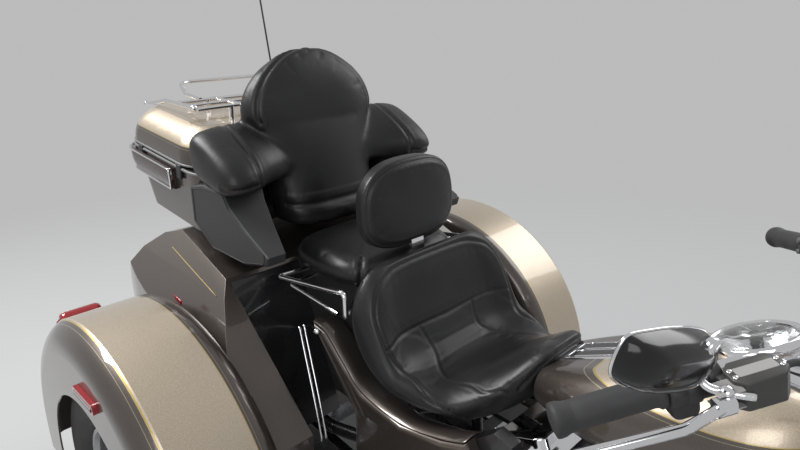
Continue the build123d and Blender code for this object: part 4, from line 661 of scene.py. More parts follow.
def upholster(name, mesh, node, seams, voxel, swell, ease=4):
    """A stuffed cover standing for a solid pad."""
    piece = as_piece(name, mesh, leather, frame["nodes"][node]["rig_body"], replaces=(node,))
    with_modifier(piece, "REMESH", "even", mode="VOXEL", use_smooth_shade=True,
                  voxel_size=voxel * 1)
    with_modifier(piece, "SMOOTH", "ease", factor=0.5, iterations=ease)
    bake(piece)
    stuff(piece, seams, swell)
    with_modifier(piece, "SMOOTH", "relax", factor=0.35, iterations=2)
    with_modifier(piece, "SUBSURF", "finer", levels=1, render_levels=1)
    bake(piece)
    print(name, len(piece.data.polygons), "faces")
    return piece


print("upholstery helpers ready")

# %% [markdown]
# ## The rider's bucket seat
# One closed section is drawn around the seat, from its underside over the side to the middle
# of its top. It is swept from the nose on the tank, down through the dish and up the back.
# In front the section is a plain arch, so that the thighs roll off it, and towards the back
# its edge rises into a padded rim. Seams follow the section: a double one inside the rim, one
# across the dish, one down each side of the cushion, one round the nose and one low outside.

# %% Rider's seat
SEAT_HALF = [(0.00, 0.00, 0), (0.42, 0.00, 0), (0.76, 0.02, 0), (0.94, 0.16, 0), (1.00, 0.42, 0.05),
             (1.00, 0.70, 0.45), (0.965, 0.88, 0.88), (0.90, 0.97, 1.0), (0.82, 1.00, 0.82),
             (0.74, 1.00, 0.50), (0.64, 1.00, 0.20), (0.48, 1.00, 0.05), (0.25, 1.00, 0.0),
             (0.00, 1.00, 0)]
SEAT_ROWS = [
    # top y and z, underside y and z, half width, height of the rim over the middle
    (-0.098, 0.800, -0.090, 0.786, 0.036, 0.000), (-0.096, 0.812, -0.086, 0.762, 0.056, -0.002),
    (-0.086, 0.823, -0.076, 0.734, 0.078, -0.008), (-0.066, 0.820, -0.058, 0.706, 0.108, -0.018),
    (-0.036, 0.797, -0.032, 0.680, 0.140, -0.026), (0.000, 0.768, 0.006, 0.653, 0.168, -0.028),
    (0.030, 0.744, 0.038, 0.647, 0.190, -0.024), (0.060, 0.723, 0.072, 0.650, 0.207, -0.014),
    (0.095, 0.706, 0.105, 0.656, 0.221, 0.002), (0.130, 0.698, 0.150, 0.663, 0.230, 0.018),
    (0.165, 0.702, 0.209, 0.675, 0.236, 0.028), (0.195, 0.719, 0.262, 0.712, 0.240, 0.032),
    (0.217, 0.750, 0.298, 0.760, 0.242, 0.032), (0.237, 0.790, 0.314, 0.800, 0.240, 0.029),
    (0.254, 0.830, 0.316, 0.840, 0.233, 0.025), (0.267, 0.866, 0.313, 0.876, 0.216, 0.019),
    (0.279, 0.894, 0.308, 0.902, 0.192, 0.010), (0.289, 0.910, 0.302, 0.913, 0.158, 0.002),
]


def on_seat(row, turn, sign):
    """A point on the seat: along its rows, then around its half section from the underside."""
    y1, z1, y0, z0, half, rim = catmull(SEAT_ROWS, row)
    u, v, r = catmull(SEAT_HALF, turn * (len(SEAT_HALF) - 1))
    low, high = Vector((0, y0, z0)), Vector((0, y1, z1))
    rise = high - low
    if rim < 0 and v > 0.5:
        # In front the top rolls down towards the sides
        r += 0.55 * max(0.0, u - 0.35)
    return low + rise * v + rise.normalized() * rim * r + Vector((sign * half * u, 0, 0))


def seat_line(stops, sign):
    """A seam through stops of (row, turn)."""
    path = []
    for k in range(24 * (len(stops) - 1) + 1):
        row, turn = catmull(stops, k / 24)
        path.append(on_seat(row, turn, sign))
    return path


RIM_STOPS = [(5.4, 0.22), (6.75, 0.38), (8.3, 0.52), (9.9, 0.59), (11.2, 0.58), (12.5, 0.54),
             (14.25, 0.50), (15.5, 0.54), (16.1, 0.70), (16.3, 0.86), (16.35, 1.0)]
CUSHION_STOPS = [(12.4, 0.88), (10.6, 0.89), (8.4, 0.80), (6.1, 0.70), (4.6, 0.50), (3.6, 0.34)]
LOW_STOPS = [(5.5, 0.22), (7.0, 0.28), (9.6, 0.33), (11.2, 0.31), (12.7, 0.29), (14.0, 0.27),
             (15.5, 0.30)]
DISH_STOPS = [(12.5, 0.55), (12.5, 0.70), (12.45, 0.83), (12.35, 1.0)]
NOSE_STOPS = [(3.0, 0.30), (2.3, 0.38), (1.7, 0.46), (1.5, 0.56), (1.42, 0.80), (1.38, 1.0)]
around = [(k / 30, 1) for k in range(31)] + [(k / 30, -1) for k in range(29, 0, -1)]
mesh = bmesh.new()
sweep(mesh, lambda row, k: on_seat(row, *around[k]), SEAT_ROWS, len(around), 4)
rims, cushions, lows = [[seat_line(stops, sign) for sign in (-1, 1)]
                        for stops in (RIM_STOPS, CUSHION_STOPS, LOW_STOPS)]
dish_seam, nose_seam = [seat_line(stops, -1) + seat_line(stops, 1)[::-1]
                        for stops in (DISH_STOPS, NOSE_STOPS)]
double, single = rims + [nose_seam], [dish_seam] + cushions + lows
rider_seat = upholster("rider_seat_cover", mesh, "rider_seat", double + single, 0.006, 0.0020,
                       ease=5)
sew("rider_seat_double_seams", rider_seat, double, "chassis", 0.0024, 0.006, beside=0.0032)
sew("rider_seat_seams", rider_seat, single, "chassis", 0.0016, 0.005)

# %% [markdown]
# ## The passenger's pad
# A thick rounded pad: flat where it lies on its base, crowned on top, with a piping along its
# lower edge and a short seam over each rear corner.

# %% Passenger's seat
PAD_COUNT = 72
# z, half width, front y, back y, squareness
PAD_ROWS = [(0.831, 0.150, 0.370, 0.600, 3.2), (0.830, 0.170, 0.350, 0.615, 3.4),
            (0.834, 0.180, 0.338, 0.620, 3.6), (0.850, 0.184, 0.333, 0.621, 3.8),
            (0.868, 0.181, 0.334, 0.619, 3.8), (0.883, 0.170, 0.344, 0.611, 3.6),
            (0.893, 0.148, 0.366, 0.594, 3.4), (0.898, 0.110, 0.402, 0.562, 3.0),
            (0.900, 0.050, 0.450, 0.510, 2.6)]


def on_pad(row, k):
    """A point around the pad, whose top falls a little towards the rear."""
    z, half, y0, y1, corner = catmull(PAD_ROWS, row)
    a = 2 * pi * (k % PAD_COUNT) / PAD_COUNT
    y = (y0 + y1) / 2 + (y1 - y0) / 2 * squarish(sin(a), corner)
    return Vector((half * squarish(cos(a), corner), y, z + 0.010 * (y1 - y) * min(1.0, row / 5)))


mesh = bmesh.new()
sweep(mesh, on_pad, PAD_ROWS, PAD_COUNT)
piping = [on_pad(2.4, k) for k in range(PAD_COUNT + 1)]
corner_seams = [[on_pad(2.4 + 0.2 * n, k) for n in range(steps)]
                for k, steps in ((9, 22), (63, 22), (27, 18), (45, 18))]
passenger_seat = upholster("passenger_seat_cover", mesh, "passenger_seat", [piping] + corner_seams,
                           0.006, 0.005)
sew("passenger_seat_seams", passenger_seat, corner_seams, "chassis")
sew("passenger_seat_piping", passenger_seat, [piping], "chassis", 0.002)

# %% [markdown]
# ## The rider's backrest
# A pad like a rounded trapezoid, wider below. Its front panel is sewn to a side band with a
# double seam that runs all round, a little inside the edge.

# %% Rider's backrest
REST_AT, REST_LEAN, REST_HIGH = Vector((0, 0.388, 0.905)), radians(5.5), 0.209
REST_COUNT = 84
rest_up = Vector((0, sin(REST_LEAN), cos(REST_LEAN)))
rest_out = Vector((0, -cos(REST_LEAN), sin(REST_LEAN)))
# How far the pad stands forward, how far its edge is drawn in
REST_ROWS = [(0.000, 0.030), (-0.001, 0.014), (0.004, 0.004), (0.014, 0.000), (0.030, 0.000),
             (0.042, 0.0015), (0.050, 0.006), (0.056, 0.014), (0.060, 0.028), (0.062, 0.050),
             (0.063, 0.075)]


def on_rest(row, k):
    """A point around the pad at a row of its table."""
    depth, inset = catmull(REST_ROWS, row)
    a = 2 * pi * k / REST_COUNT
    corner = 2.7 if sin(a) > 0 else 3.0
    up = REST_HIGH / 2 + (REST_HIGH / 2 - inset) * squarish(sin(a), corner)
    half = 0.142 + 0.016 * min(1.0, max(0.0, depth / 0.05)) - 0.010 * (up / REST_HIGH) - inset
    x = half * squarish(cos(a), corner)
    forward = depth + 0.010 * (1 - (x / 0.15) ** 2)
    return REST_AT + rest_up * up + rest_out * forward + Vector((x, 0, 0))


mesh = bmesh.new()
sweep(mesh, on_rest, REST_ROWS, REST_COUNT)
front_seam, back_seam = [[on_rest(row, k) for k in range(REST_COUNT + 1)] for row in (6.5, 2.0)]
rider_rest = upholster("rider_backrest_cover", mesh, "rider_backrest", [front_seam, back_seam],
                       0.005, 0.005, ease=3)
sew("rider_backrest_double_seam", rider_rest, [front_seam], "chassis", 0.0028, 0.007, beside=0.003)
sew("rider_backrest_seam", rider_rest, [back_seam], "chassis", 0.002)

# %% [markdown]
# ## The passenger's backrest
# A tall pad whose top spreads into an arch stands between two bolsters that wrap forward
# around the passenger. The three are lofted apart and grow together in the remesh. A gusset
# seam runs up each side of the arch, a crease lies across the pad, and each bolster has a
# seam from its top down the inside to a low pinched tip. The foot of the pad is gathered.

# %% Passenger's backrest
ARCH_COUNT, BOLSTER_COUNT = 64, 48
ARCH_ROWS = [
    # z, half width, front y, back y
    (0.903, 0.140, 0.598, 0.748), (0.908, 0.152, 0.594, 0.752), (0.930, 0.159, 0.596, 0.754),
    (0.960, 0.163, 0.604, 0.758), (1.000, 0.167, 0.617, 0.768), (1.050, 0.170, 0.633, 0.780),
    (1.100, 0.175, 0.648, 0.784), (1.140, 0.190, 0.661, 0.782), (1.162, 0.207, 0.669, 0.780),
    (1.182, 0.216, 0.673, 0.779), (1.215, 0.211, 0.681, 0.777), (1.250, 0.192, 0.690, 0.774),
    (1.280, 0.163, 0.700, 0.772), (1.304, 0.127, 0.711, 0.768), (1.322, 0.090, 0.722, 0.764),
    (1.333, 0.052, 0.732, 0.759), (1.337, 0.020, 0.739, 0.753),
]


def on_arch(row, k):
    """A point around the tall pad at a row: squarish in plan, narrower and fuller in front."""
    z, half, front, back = catmull(ARCH_ROWS, row)
    a = 2 * pi * k / ARCH_COUNT
    fore = squarish(sin(a), 3.2)
    x = half * squarish(cos(a), 3.2) * (0.93 - 0.07 * fore)
    gather = 0.0025 * sin(46 * x / 0.1) * max(0.0, 1 - abs(z - 0.935) / 0.03) * max(0.0, fore)
    return Vector((x, (back + front) / 2 - (back - front) / 2 * fore - gather, z))


BOLSTER_ROWS = [
    # outwards from the pad: x, then the section's middle y and z, its half depth and half height
    (0.090, 0.716, 1.112, 0.062, 0.068), (0.150, 0.712, 1.112, 0.066, 0.074),
    (0.200, 0.700, 1.112, 0.076, 0.077), (0.245, 0.686, 1.112, 0.092, 0.078),
    (0.280, 0.680, 1.111, 0.098, 0.077), (0.305, 0.680, 1.110, 0.098, 0.074),
    (0.322, 0.682, 1.109, 0.094, 0.068), (0.336, 0.687, 1.108, 0.080, 0.056),
    (0.341, 0.692, 1.108, 0.062, 0.040),
]


def on_bolster(row, k, sign):
    """A point around a bolster: its front drops to a low, slimmer tip, its back stands tall."""
    x, y, z, deep, tall = catmull(BOLSTER_ROWS, row)
    a = 2 * pi * k / BOLSTER_COUNT
    fore, rise = squarish(cos(a), 2.9), squarish(sin(a), 2.9)
    forward = (1 - fore) / 2
    height = tall * rise * (1 - 0.50 * forward) - 0.055 * forward
    return Vector((sign * x, y + deep * fore, z + height))


mesh = bmesh.new()
sweep(mesh, on_arch, ARCH_ROWS, ARCH_COUNT)
for sign in (-1, 1):
    sweep(mesh, lambda row, k: on_bolster(row, k, sign), BOLSTER_ROWS, BOLSTER_COUNT)
gussets = [[on_arch(16.4 - 0.2 * n, k) for n in range(42)] for k in (4, 28)]
folds = [[on_bolster(3.1, k / 2, sign) for k in range(14, 52)] for sign in (-1, 1)]
tips = [[on_bolster(3.1 + 0.16 * n, 25, sign) for n in range(28)] for sign in (-1, 1)]
crease = [on_arch(8.0, 16) + Vector((x / 100, 0, 0)) for x in range(-11, 12)]
hem = [on_arch(3.0, k) for k in range(2, 31)]
passenger_rest = upholster("passenger_backrest_cover", mesh, "passenger_backrest",
                           gussets + folds + [crease, hem], 0.0068, 0.006, ease=8)
sew("passenger_backrest_seams", passenger_rest, gussets + folds + tips, "chassis")
sew("passenger_backrest_hem", passenger_rest, [hem], "chassis", 0.005, 0.012)
print("four stuffed pieces")

# %% [markdown]
# ## Small helpers for trim
# Most trim is a short list of bars, blocks and discs. Left and right match, so a piece is
# built on one side and mirrored, and a local frame places what stands on a sloping face.

# %% Helpers for trim
def both_sides(name, mesh, *rest, **more):
    """A piece with a copy of everything on the other side of the trike."""
    everything = mesh.verts[:] + mesh.edges[:] + mesh.faces[:]
    made = bmesh.ops.duplicate(mesh, geom=everything)["geom"]
    verts = [g for g in made if isinstance(g, bmesh.types.BMVert)]
    bmesh.ops.scale(mesh, verts=verts, vec=(-1, 1, 1))
    bmesh.ops.reverse_faces(mesh, faces=[g for g in made if isinstance(g, bmesh.types.BMFace)])
    return as_piece(name, mesh, *rest, **more)


def standing(origin, up, ahead):
    """A frame whose z is up and whose y is as near to ahead as it can be."""
    up = Vector(up).normalized()
    side = Vector(ahead).cross(up).normalized()
    turn = Matrix((side, up.cross(side), up)).transposed().to_4x4()
    return Matrix.Translation(Vector(origin)) @ turn


def block_in(place, mesh, *block):
    """A block whose corners are counted in a frame."""
    made = [v for v in add_block(mesh, *block) if v.is_valid]
    bmesh.ops.transform(mesh, matrix=place, verts=made)


def circles(centre, axis, profile, sides):
    """Rings of points round an axis, from (radius, height) points."""
    turn = Vector((0, 0, 1)).rotation_difference(Vector(axis)).to_matrix().to_4x4()
    turn = Matrix.Translation(Vector(centre)) @ turn
    angles = [2 * pi * k / sides for k in range(sides)]
    return [[turn @ Vector((r * cos(a), r * sin(a), h)) for a in angles] for r, h in profile]


def turned_shape(mesh, centre, axis, profile, sides=32):
    """A round shape with closed ends."""
    skin(mesh, circles(centre, axis, profile, sides))


def turned_ring(mesh, centre, axis, profile, sides):
    """A round shape with a hole, from a closed profile."""
    rings = [[mesh.verts.new(p) for p in ring] for ring in circles(centre, axis, profile, sides)]
    weave(mesh, zip(rings, rings[1:] + rings[:1]))


def tube_loop(mesh, points, radius, sides=8):
    """A round bar that closes on itself."""
    points = [Vector(p) for p in points]
    count = len(points)
    rings = []
    normal = None
    for k in range(count):
        run = (points[(k + 1) % count] - points[k - 1]).normalized()
        normal = run.orthogonal() if normal is None else normal - run * normal.dot(run)
        normal.normalize()
        side = run.cross(normal)
        rings.append([mesh.verts.new(points[k] + (normal * cos(a) + side * sin(a)) * radius)
                      for a in (2 * pi * n / sides for n in range(sides))])
    for first, second in zip(rings, rings[1:] + rings[:1]):
        shift = min(range(sides), key=lambda s: (first[0].co - second[s].co).length)
        weave(mesh, [(first, second[shift:] + second[:shift])])


def even_loop(mesh, loop, step, radius):
    """A round bar along a closed line, in even steps."""
    tube_loop(mesh, even_steps(loop + [loop[0]], step)[:-1], radius)


def add_screw(mesh, at, axis, radius, height):
    """A cap screw with a socket: a short post with a sunk middle."""
    turned_shape(mesh, at, axis, [(radius, -0.001), (radius, height * 0.8), (radius * 0.9, height),
                                  (radius * 0.5, height), (radius * 0.45, height * 0.4)], 10)


print("trim helpers ready")

# %% [markdown]
# ## Tyres with tread
# A road tyre is a ring whose cross-section is an arc over the tread and two bulging
# sidewalls. The grid of the tread is sheared so that its columns lean like the side grooves,
# and the points between the groove's edges are pushed inwards.

# %% Tyres
FRONT_AXLE, REAR_AXLE = Vector((0, -1.015, 0.320)), Vector((0, 0.655, 0.324))
SHOULDER, WALL, RING_DEPTH, SIDE_DEPTH, EDGE = 0.014, 0.017, 0.006, 0.005, 0.0008
GROOVE_TURNS, GROOVE_SUNK = (0.0, 0.035, 0.15, 0.185, 0.55), (0, 1, 1, 0, 0)


def arc_through(a, b, c, steps):
    """Points along the circle through three points in a plane."""
    (ax, ay), (bx, by), (cx, cy) = a, b, c
    d = 2 * (ax * (by - cy) + bx * (cy - ay) + cx * (ay - by))
    aa, bb, cc = (x * x + y * y for x, y in (a, b, c))
    ux = (aa * (by - cy) + bb * (cy - ay) + cc * (ay - by)) / d
    uy = (aa * (cx - bx) + bb * (ax - cx) + cc * (bx - ax)) / d
    radius = sqrt((ax - ux) ** 2 + (ay - uy) ** 2)
    start, middle, end = (atan2(y - uy, x - ux) for x, y in (a, b, c))
    turn = (end - start) % (2 * pi)
    if (middle - start) % (2 * pi) > turn:
        turn -= 2 * pi
    angles = [start + turn * k / steps for k in range(steps + 1)]
    return [(ux + radius * cos(a), uy + radius * sin(a)) for a in angles]


def tyre_section(radius, width, rim, rings, band):
    """A closed line of (across, radius, whether it is tread) round the tyre's section."""
    shoulder, half = radius - SHOULDER, 0.40 * width
    bow = (half ** 2 + SHOULDER ** 2) / (2 * SHOULDER)
    stops = {-half, half, -half * 0.9, half * 0.9, 0.0}
    for place, wide in rings:
        edges = (-wide / 2 - EDGE, -wide / 2, wide / 2, wide / 2 + EDGE)
        stops |= {s * (place + d) for s in (-1, 1) for d in edges}
    stops |= {s * (x + d) for s in (-1, 1) for x in band for d in (0, 0.001)}
    crown = [(x, radius - bow + sqrt(bow ** 2 - x ** 2), True) for x in sorted(stops)]
    middle = (shoulder + rim) / 2
    wall = arc_through((half, shoulder), (width / 2, middle), (0.36 * width, rim), 12)
    ribbed = [(x + (0.0012 if k in (4, 8) else 0), r, False) for k, (x, r) in enumerate(wall)][1:]
    inner = arc_through((0.26 * width, rim + 0.001), (0.42 * width, middle),
                        (0.30 * width, shoulder - SHOULDER), 5)
    inside = [(x, r, False) for x, r in inner] + [(0, radius - WALL, False)]
    inside += [(-x, r, False) for x, r in inner[::-1]]
    return crown + ribbed + inside + [(-x, r, tread) for x, r, tread in ribbed[::-1]]


def make_tyre(node, middle, radius, width, rim, rings, pitch, band, lean):
    """A treaded tyre standing for a plain one: rings are the grooves round it as (place, width)."""
    loop = tyre_section(radius, width, rim, rings, band)
    mesh = bmesh.new()
    rows = []
    for n in range(pitch):
        for turn, sunk in zip(GROOVE_TURNS, GROOVE_SUNK):
            row = []
            for x, r, tread in loop:
                angle = 2 * pi * (n + turn) / pitch
                if tread:
                    angle += lean * (abs(x) - band[0]) / radius + (pi / pitch if x < 0 else 0)
                    if any(abs(abs(x) - place) <= wide / 2 + 1e-6 for place, wide in rings):
                        r -= RING_DEPTH
                    elif sunk and band[0] < abs(x) < band[1] + 0.0005:
                        r -= SIDE_DEPTH
                row.append(mesh.verts.new(middle + Vector((x, r * cos(angle), r * sin(angle)))))
            rows.append(row)
    weave(mesh, zip(rows, rows[1:] + rows[:1]))
    body = frame["nodes"][node]["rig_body"]
    piece = as_piece(node + "_tread", mesh, tyre_rubber, body, replaces=(node,))
    with_modifier(piece, "WEIGHTED_NORMAL", "even")


make_tyre("front_tyre", FRONT_AXLE, 0.320, 0.130, 0.235, [(0.010, 0.004)], 46, (0.016, 0.046), 0.9)
for name, side_sign in (("right", -1), ("left", 1)):
    make_tyre(name + "_rear_tyre", REAR_AXLE + Vector((side_sign * 0.567, 0, 0)), 0.324, 0.205,
              0.190, [(0.018, 0.007), (0.048, 0.007)], 60, (0.022, 0.078), 0.35)
print("three treaded tyres")

# %% [markdown]
# ## Hubs and brakes
# Each rear hub has a chrome cap and five nuts, and each front disc five bolts on its carrier
# and five on its ring. They turn with their wheels.

# %% Hubs
REAR_HUB_FACE, DISC_FACE = 0.636, 0.0661
# Radius of the circle, turn against the first bolt, radius and height of the bolt
DISC_BOLTS = [(0.026, 0, 0.0045, 0.0035), (0.105, 0.63, 0.005, 0.002)]


def round_axle(middle, x, radius, turn):
    """A point beside an axle, its angle counted from the rear."""
    return middle + Vector((x, radius * cos(turn), radius * sin(turn)))


for name, side_sign in (("right", -1), ("left", 1)):
    mesh = bmesh.new()
    out, face = (side_sign, 0, 0), side_sign * REAR_HUB_FACE
    turned_shape(mesh, round_axle(REAR_AXLE, face, 0, 0), out,
                 [(0.019, 0), (0.019, 0.010), (0.015, 0.016), (0.006, 0.018)], 24)
    for k in range(5):
        turned_shape(mesh, round_axle(REAR_AXLE, face, 0.032, 2 * pi * k / 5), out,
                     [(0.008, 0), (0.008, 0.010), (0.0065, 0.014), (0.003, 0.0155)], 6)
    as_piece(name + "_hub_nuts", mesh, chrome, name + "_rear_wheel_body", False)
mesh = bmesh.new()
for side_sign in (-1, 1):
    for k in range(5):
        for radius, turn, size, high in DISC_BOLTS:
            spot = round_axle(FRONT_AXLE, side_sign * DISC_FACE, radius,
                              2 * pi * (k + 0.5) / 5 + turn)
            add_screw(mesh, spot, (side_sign, 0, 0), size, high)
as_piece("front_disc_bolts", mesh, steel, "front_wheel_body", False)
print("hubs and brakes")

# %% [markdown]
# ## Handlebar trim
# Next to each grip sits a black switch housing with small keys, then a clamp with a domed
# pivot bolt, and further in the fluid reservoir with a screwed cover. The grips are smooth
# rubber sleeves with a collar at the inner end and a flare at the outer one.

# %% Grips and switches
GRIP_IN = Vector((0.331, -0.390, 1.029))
GRIP_OUT = Vector((0.429, -0.315, 0.996))
grip_run = (GRIP_OUT - GRIP_IN).normalized()
grip_up = grip_run.cross(Vector((0, 0, 1)).cross(grip_run).normalized())
front_way = grip_run.cross(Vector((0, 0, 1))).normalized()


def by_grip(along, out, rise):
    """A point outwards along the grip from its inner end, ahead of it and above it."""
    return GRIP_IN + grip_run * along + front_way * out + grip_up * rise


END = (GRIP_OUT - GRIP_IN).length
SLEEVE = [(0.016, -0.0004), (0.0225, -0.0003), (0.0228, 0.005), (0.0205, 0.008), (0.0192, 0.012),
          (0.0190, 0.060), (0.0190, END - 0.020), (0.0186, END - 0.0185), (0.0186, END - 0.0165),
          (0.0190, END - 0.015), (0.0192, END - 0.010), (0.0212, END - 0.004),
          (0.0218, END + 0.002), (0.0212, END + 0.006), (0.0150, END + 0.0078)]
mesh = bmesh.new()
turned_shape(mesh, GRIP_IN, grip_run, SLEEVE, 40)
both_sides("grip_sleeves", mesh, grip_rubber, "front_end", replaces=("grips",))
# Along, out and rise of the start, then a profile: switch housing, lever clamp, fluid body
BARRELS = [
    ((-0.043, 0.002, -0.001), 36, [(0.010, 0), (0.0215, 0.0002), (0.0245, 0.003), (0.0250, 0.018),
                                   (0.0243, 0.0195), (0.0243, 0.0215), (0.0250, 0.023),
                                   (0.0245, 0.038), (0.0215, 0.0412), (0.010, 0.0414)]),
    ((-0.072, 0, 0), 30, [(0.010, 0), (0.0172, 0.0002), (0.0182, 0.002), (0.0182, 0.016),
                          (0.0172, 0.0178), (0.010, 0.018)]),
    ((-0.125, 0.022, -0.002), 28, [(0.006, 0), (0.0125, 0.0004), (0.0135, 0.003), (0.0135, 0.062),
                                   (0.0125, 0.0646), (0.006, 0.065)]),
]
mesh = bmesh.new()
for start, sides, profile in BARRELS:
    turned_shape(mesh, by_grip(*start), grip_run, profile, sides)
block_in(standing(by_grip(-0.022, 0.004, 0.004), grip_up, grip_run), mesh,
         (-0.019, -0.018, -0.042), (0.019, 0.018, 0.0), 0.010, 4)
block_in(standing(by_grip(-0.063, 0, 0), grip_up, front_way.cross(grip_up)), mesh,
         (-0.010, -0.010, -0.012), (0.030, 0.010, 0.012), 0.004, 3)
both_sides("control_housings", mesh, satin_black, "front_end", replaces=("hand_controls",))
mesh = bmesh.new()
for along, rise, size in ((-0.012, 0.008, 0.006), (-0.026, 0.010, 0.0065), (-0.036, -0.010, 0.005),
                          (-0.014, -0.012, 0.005)):
    turned_shape(mesh, by_grip(along, -0.0228, rise), -front_way,
                 [(size, 0), (size, 0.003), (size * 0.8, 0.0045), (size * 0.4, 0.005)], 14)
key_grey = make_finish("key_grey", (0.10, 0.10, 0.105), 0.45, clouds=(0.38, 0.52))
both_sides("switch_keys", mesh, key_grey, "front_end")
print("grips and switches")

# %% Reservoirs and levers
cover_grey = make_finish("cover_grey", (0.060, 0.058, 0.056), 0.42, 0.3, clouds=(0.36, 0.50, 80.0))
slot_grey = make_finish("slot_grey", (0.33, 0.32, 0.31), 0.5, 0.2, clouds=(0.42, 0.58, 120.0))
lid_frame = standing(by_grip(-0.101, 0.030, 0.012), grip_up, grip_run)
mesh = bmesh.new()
made = add_block(mesh, (-0.0215, -0.034, -0.034), (0.0215, 0.034, 0.006))
upright = {e for v in made for e in v.link_edges if abs(e.verts[0].co.z - e.verts[1].co.z) > 0.03}
ease_edges(mesh, list(upright), 0.011, 1)
ease_edges(mesh, mesh.edges[:], 0.0022, 2)
bmesh.ops.transform(mesh, verts=mesh.verts, matrix=lid_frame)
both_sides("reservoir_covers", mesh, cover_grey, "front_end")
mesh = bmesh.new()
block_in(lid_frame, mesh, (-0.0080, -0.0245, 0.0050), (0.0080, 0.0245, 0.0068), 0.0004, 1)
upright = [e for e in mesh.edges
           if abs((e.verts[0].co - e.verts[1].co).normalized().dot(grip_up)) > 0.9]
ease_edges(mesh, upright, 0.006, 4)
both_sides("reservoir_slots", mesh, slot_grey, "front_end", False)
mesh = bmesh.new()
for side_sign in (-1, 1):
    for along in (-0.0285, 0.0285):
        turned_shape(mesh, lid_frame @ Vector((side_sign * 0.006, along, 0.0058)), grip_up,
                     [(0.0035, 0), (0.0034, 0.0010), (0.0022, 0.0018), (0.0008, 0.0020)], 12)
turned_shape(mesh, by_grip(-0.055, 0.046, 0.011), grip_up,
             [(0.0085, 0), (0.0085, 0.002), (0.0074, 0.0046), (0.0046, 0.0068), (0.0015, 0.0076)],
             20)
turned_shape(mesh, by_grip(-0.055, 0.046, -0.011), -grip_up,
             [(0.0085, 0), (0.0085, 0.004), (0.006, 0.0055)], 6)
for rise in (-0.013, 0.013):
    add_screw(mesh, by_grip(-0.055, -0.020, rise), -front_way, 0.0038, 0.003)
both_sides("lever_bolts", mesh, chrome, "front_end")
mesh = bmesh.new()
for rise in (-0.0122, 0.0108):
    block_in(standing(by_grip(-0.058, 0.040, rise), grip_up, grip_run), mesh,
             (-0.013, -0.016, 0), (0.013, 0.016, 0.0018), 0.0008, 1)
both_sides("lever_brackets", mesh, slot_grey, "front_end", False)
print("reservoirs and levers")

# %% Clamp bolts and hoses
CLAMP_TOP = Vector((0, -0.5639, 0.9727))
mesh = bmesh.new()
for x in (-0.042, 0.042):
    for y in (-0.013, 0.013):
        add_screw(mesh, CLAMP_TOP + Vector((x, y, 0.0155)), (0, 0.5, 0.866), 0.0045, 0.005)
as_piece("bar_clamp_bolts", mesh, steel, "front_end")
HOSES = [
    (0.0045, [by_grip(-0.124, 0.022, -0.002), by_grip(-0.160, 0.024, 0.000), (0.150, -0.520, 1.010),
              (0.085, -0.590, 0.975), (0.060, -0.655, 0.930)]),
    (0.0055, [by_grip(-0.034, 0.014, -0.012), by_grip(-0.110, 0.016, -0.014),
              (0.150, -0.515, 1.022), (0.080, -0.590, 0.985), (0.052, -0.660, 0.935)]),
]
mesh = bmesh.new()
for radius, stops in HOSES:
    add_tube(mesh, smooth_path(stops), radius)
both_sides("bar_hoses", mesh, grip_rubber, "front_end")
print("clamp bolts and hoses")

# %% [markdown]
# ## Mirrors
# Each mirror has a black shell, a chrome rim that catches the light along its top, and a
# plain glass that faces the rider.

# %% Mirrors
MIRROR_MID = Vector((-0.428, -0.418, 1.136))
mirror_out = Vector((0.22, 0.95, 0.1)).normalized()
level_side = (Vector((1, 0, 0)) - mirror_out * mirror_out.x).normalized()
MIRROR_ROLL = radians(14)
mirror_side = level_side * cos(MIRROR_ROLL) + mirror_out.cross(level_side) * sin(MIRROR_ROLL)
mirror_up = mirror_out.cross(mirror_side)
# The blade's outline in millimetres, across and up
MIRROR_LINE = [(80, 14), (64, 35), (32, 42), (-8, 41), (-48, 34), (-76, 20), (-83, 2), (-82, -16),
               (-74, -24), (-46, -27), (-8, -29), (32, -28), (64, -22), (80, -6), (80, 14)]
# Shell and glass from back to front: how much of the outline, how far towards the rider
SHELL = [(0.30, -0.0345), (0.52, -0.0325), (0.72, -0.027), (0.86, -0.020), (0.945, -0.011),
         (0.985, -0.003), (0.985, 0.0), (0.95, 0.0012), (0.93, 0.0002), (0.90, 0.0)]
GLASS = [(0.925, -0.001), (0.925, 0.0008), (0.915, 0.0014), (0.60, 0.0019), (0.25, 0.0021)]


def mirror_ring(grow, depth):
    """The mirror's edge, a long blade that is blunt at its outer end."""
    ring = []
    for k in range(56):
        wide, high = catmull(MIRROR_LINE, k / 56 * (len(MIRROR_LINE) - 1))
        flat = (mirror_side * wide + mirror_up * high) * 0.001 * grow
        ring.append(MIRROR_MID + flat + mirror_out * depth)
    return ring


mesh = bmesh.new()
skin(mesh, [mirror_ring(*row) for row in SHELL])
shells = both_sides("mirror_shells", mesh, gloss_black, "front_end")
mesh = bmesh.new()
tube_loop(mesh, mirror_ring(0.985, -0.001), 0.0018)
stem_top = MIRROR_MID + mirror_side * 0.034 - mirror_up * 0.020 - mirror_out * 0.027
on_right = Matrix.Scale(-1, 4, (1, 0, 0))
STEM = [(-0.034, 0.018, 0.040), (-0.040, 0.030, 0.014), (-0.060, 0.046, 0.008),
        (-0.082, 0.056, 0.002)]
add_tube(mesh, smooth_path([stem_top] + [on_right @ by_grip(*spot) for spot in STEM]), 0.0052, 14)
turned_shape(mesh, stem_top - mirror_out * 0.004, mirror_out,
             [(0.010, 0), (0.011, 0.004), (0.009, 0.010), (0.005, 0.012)], 20)
both_sides("mirror_rims", mesh, chrome, "front_end")
glass = make_finish("mirror_glass", (0.86, 0.88, 0.90), 0.02, 1.0, clouds=(0.01, 0.03))
mesh = bmesh.new()
skin(mesh, [mirror_ring(*row) for row in GLASS])
both_sides("mirror_glasses", mesh, glass, "front_end")
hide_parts("mirrors")
print("mirrors")

